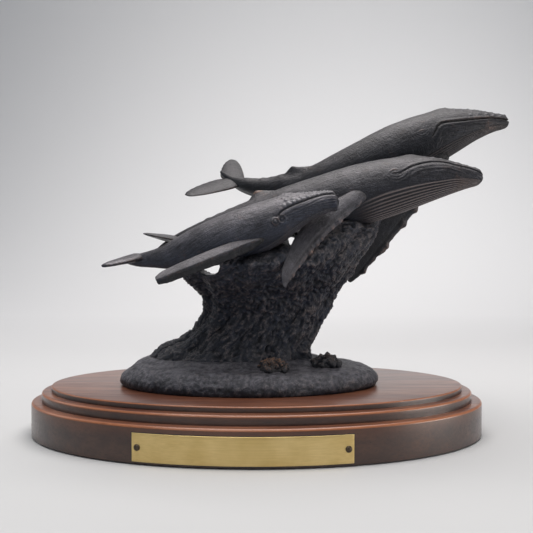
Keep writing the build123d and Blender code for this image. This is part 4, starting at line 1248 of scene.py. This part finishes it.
# %% Wood
def wood():
    finish = Finish("plinth_wood")
    bands = finish.noise(finish.place((9, 75, 75)), 1.0, 4.0, 0.6)
    streaks = finish.noise(finish.place((26, 620, 620)), 1.0, 4.0, 0.65)
    pores = finish.noise(finish.place((75, 1700, 1700)), 1.0, 2.0, 0.5)
    tone = finish.blend(finish.spread(bands, 0.32, 0.70), rgb(0.095, 0.032, 0.018), rgb(0.265, 0.104, 0.052))
    tone = finish.blend(finish.spread(streaks, 0.38, 0.68, 0.0, 0.6), tone, rgb(0.070, 0.025, 0.016))
    tone = finish.blend(finish.spread(pores, 0.60, 0.72, 0.0, 0.75), tone, rgb(0.030, 0.012, 0.009))
    spot = finish.node("SeparateXYZ", {"Vector": finish.node("TexCoord").outputs["Object"]}).outputs
    lean = finish.node("SeparateXYZ", {"Vector": finish.node("NewGeometry").outputs["Normal"]}).outputs["Z"]
    # Painted highlight: the rounded edges, where the normal slopes, are laid in a warm orange broken by the streaks.
    painted_highlight_slopes = finish.math("MULTIPLY", finish.spread(lean, 0.05, 0.30), finish.spread(lean, 0.97, 0.80))
    worn = finish.math("MULTIPLY", painted_highlight_slopes, finish.spread(streaks, 0.25, 0.55, 0.5, 0.95))
    # Painted light and shade: the tops are lightened and the upright sides darkened.
    tone = finish.shade(tone, finish.spread(lean, 0.25, 0.05, 1.15, 0.27))
    tone = finish.blend(worn, tone, rgb(0.340, 0.120, 0.048))
    # Painted shadow: the plate's bed, which shows as a thin gap round the plate, is laid nearly black.
    beside = finish.math("ABSOLUTE", finish.math("SUBTRACT", spot["X"], PLATE_X * MM))
    level = finish.math("ABSOLUTE", finish.math("SUBTRACT", spot["Z"], PLATE_Z * MM))
    painted_shadow_bed = finish.math("MULTIPLY", finish.math("LESS_THAN", beside, PLATE_BED[0] * MM),
                      finish.math("LESS_THAN", level, PLATE_BED[1] * MM))
    painted_shadow_bed = finish.math("MULTIPLY", painted_shadow_bed, finish.math("LESS_THAN", spot["Y"], 0.0))
    tone = finish.blend(painted_shadow_bed, tone, rgb(0.012, 0.006, 0.005))
    finish.shader.inputs["Coat Weight"].default_value = 0.45
    finish.shader.inputs["Coat Roughness"].default_value = 0.22
    skin = finish.bump(pores, -0.30, 0.0005)
    sheen = finish.spread(streaks, 0.3, 0.7, 0.30, 0.42)
    return finish.surface(tone, sheen, finish.bump(streaks, 0.12, 0.0006, skin))


wood_of_plinth = wood()
print(wood_of_plinth.name)

# %% Brass and small finishes
def brass():
    finish = Finish("plate_brass")
    brushed = finish.noise(finish.place((14, 900, 2600)), 1.0, 3.0, 0.6)
    cloud = finish.noise(finish.place(), 55.0, 3.0)
    tone = finish.blend(finish.spread(cloud, 0.35, 0.7), rgb(0.64, 0.47, 0.190), rgb(0.76, 0.58, 0.265))
    tone = finish.blend(finish.spread(brushed, 0.35, 0.7, 0.0, 0.25), tone, rgb(0.42, 0.29, 0.10))
    return finish.surface(tone, finish.spread(brushed, 0.3, 0.7, 0.36, 0.50), finish.bump(brushed, 0.08, 0.0002), 0.9)


def plain(name, dark, light, metallic, roughness, scale, bump):
    """A finish of two near tones with fine grain."""
    finish = Finish(name)
    grain = finish.noise(finish.place(), scale, 4.0)
    tone = finish.blend(finish.spread(grain, 0.35, 0.7), dark, light)
    sheen = finish.spread(grain, 0.3, 0.7, roughness - 0.05, roughness + 0.08)
    return finish.surface(tone, sheen, finish.bump(grain, bump, 0.0003), metallic)


brass_of_plate = brass()
dark_of_pins = plain("dark_pins", rgb(0.045, 0.036, 0.028), rgb(0.12, 0.09, 0.06), 0.8, 0.38, 1500.0, 0.2)
felt = plain("felt", rgb(0.010, 0.012, 0.010), rgb(0.030, 0.034, 0.030), 0.0, 0.92, 2200.0, 0.6)
steel = plain("steel", rgb(0.42, 0.42, 0.43), rgb(0.58, 0.58, 0.60), 1.0, 0.38, 900.0, 0.1)
black_steel = plain("black_steel", rgb(0.012, 0.014, 0.018), rgb(0.030, 0.030, 0.034), 0.4, 0.50, 900.0, 0.2)
print(brass_of_plate.name, dark_of_pins.name, felt.name, steel.name, black_steel.name)

# %% [markdown]
# ## Putting it together
# Each new piece takes its finish, rides on the one rigid body, and stands for its CAD node. The felt, the screws,
# washers and seat pins keep their CAD shape and only get a finish.

# %% Dress the pieces
def dress(piece, node, slot, material):
    """Gives a piece its finish and says which CAD node it stands for."""
    piece.data.materials.clear()
    piece.data.materials.append(material)
    # The upward facing kept on each vertex drives the bronze's painted light and shade.
    if slot == "bronze":
        mark(piece, up=read_normals(piece)[:, 2])
    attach(piece, "root")
    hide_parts(node)


for name, body in bodies.items():
    dress(body, name + "_body", "bronze", bronze_of_whales[name])
for (name, side), blade in flippers.items():
    tone = "escort" if name == "escort" else "flipper"
    dress(blade, f"{name}_{side}_flipper", "bronze", bronze_of_whales[tone])
for name, pair in fluke_pairs.items():
    dress(pair, name + "_flukes", "bronze", bronze_of_whales[name])
dress(reef, "reef_column", "bronze", bronze_of_reef)
dress(mound, "reef_mound", "bronze", bronze_of_mound)
for node, heap in corals.items():
    dress(heap, node, "bronze", bronze_of_coral)
dress(plinth, "plinth", "wood", wood_of_plinth)
dress(plate, "plaque", "plate", brass_of_plate)
dress(pins, "plaque_pins", "dark_pins", dark_of_pins)

kept = {"felt_pad": felt, "mounting_screws": steel, "mounting_washers": steel, "mother_seat_pins": black_steel,
        "escort_seat_pins": black_steel, "calf_seat_pins": black_steel}
for node, material in kept.items():
    data = frame["nodes"][node].data
    data.materials.clear()
    data.materials.append(material)

# %% [markdown]
# ## Stage and light
# The photograph was taken on a pale seamless sweep under soft light from above. A plane is pulled up behind the
# object and the fold is rounded. One large softbox hangs overhead, a low warm lamp shines from the right, weak
# ones fill from the front and the left, and one lights the backdrop. The world is a dim cool fill, and only the
# camera sees its pale surround.

# %% Sweep
SWEEP = dict(width=6.0, depth=4.4, height=2.6, fold=1.4)


def make_sweep():
    """A pale floor that curves up behind the object, painted darker at the front and lighter towards the back."""
    clear_selection()
    bpy.ops.mesh.primitive_plane_add(size=1.0)
    sweep = bpy.context.object
    sweep.name = "pale_sweep"
    edit_all()
    bpy.ops.transform.resize(value=(SWEEP["width"], SWEEP["depth"], 1))
    select_vertices(sweep, lambda co: co.y > 1)
    pull((0, 0, SWEEP["height"]))
    select_vertices(sweep, lambda co: co.y > 1 and abs(co.z) < 1e-6)
    bpy.ops.mesh.bevel(offset=SWEEP["fold"], segments=24, affect="EDGES")
    bpy.ops.object.mode_set(mode="OBJECT")
    bpy.ops.object.shade_smooth()
    finish = Finish("pale_sweep")
    # Painted light: darker at the front of the floor, lighter up the backdrop.
    back = finish.node("SeparateXYZ", {"Vector": finish.node("TexCoord").outputs["Object"]}).outputs["Y"]
    tone = finish.blend(finish.spread(back, -0.1, 0.9), rgb(0.52, 0.52, 0.52), rgb(0.80, 0.79, 0.79))
    finish.put(finish.shader.inputs["Base Color"], tone)
    finish.shader.inputs["Roughness"].default_value = 0.75
    sweep.data.materials.append(finish.material)
    return sweep


sweep = make_sweep()
print("sweep:", len(sweep.data.polygons), "faces")

# %% Lamps and world
def lamp(name, place, aim, width, depth, energy, colour):
    """A soft rectangular lamp."""
    data = bpy.data.lights.new(name, "AREA")
    data.shape = "RECTANGLE"
    data.size, data.size_y, data.energy = width, depth, energy
    data.color = colour
    made = bpy.data.objects.new(name, data)
    bpy.context.collection.objects.link(made)
    made.location = place
    made.rotation_euler = (Vector(aim) - Vector(place)).to_track_quat("-Z", "Y").to_euler()


WHITE = (1.0, 1.0, 1.0)
# Name, place, aim, width, depth, watts and colour
LAMPS = (
    ("softbox_above", (0.05, -0.02, 1.0), (0.0, 0.0, 0.12), 1.2, 0.9, 15.5, (1.0, 0.970, 0.950)),
    ("side_right", (0.90, -0.25, 0.06), (0.12, 0.0, 0.16), 0.5, 0.3, 4.2, (1.0, 0.92, 0.86)),
    ("front_fill", (-0.35, -1.0, 0.60), (0.0, 0.0, 0.13), 0.7, 0.5, 1.6, WHITE),
    ("side_left", (-0.95, 0.20, 0.55), (0.0, 0.0, 0.12), 0.6, 0.6, 1.5, WHITE),
    ("backdrop_lamp", (0.30, 0.85, 1.05), (0.20, 2.0, 0.65), 1.6, 0.3, 11.5, (1.0, 0.985, 0.970)),
)
for row in LAMPS:
    lamp(*row)
world = bpy.data.worlds.new("studio")
bpy.context.scene.world = world
world.use_nodes = True
nodes, links = world.node_tree.nodes, world.node_tree.links
fill = nodes["Background"]
fill.inputs["Color"].default_value = rgb(0.70, 0.83, 1.0)
fill.inputs["Strength"].default_value = 0.15
surround = nodes.new("ShaderNodeBackground")
surround.inputs["Color"].default_value = rgb(0.62, 0.62, 0.63)
surround.inputs["Strength"].default_value = 1.0
either = nodes.new("ShaderNodeMixShader")
links.new(nodes.new("ShaderNodeLightPath").outputs["Is Camera Ray"], either.inputs[0])
links.new(fill.outputs[0], either.inputs[1])
links.new(surround.outputs[0], either.inputs[2])
links.new(either.outputs[0], nodes["World Output"].inputs["Surface"])
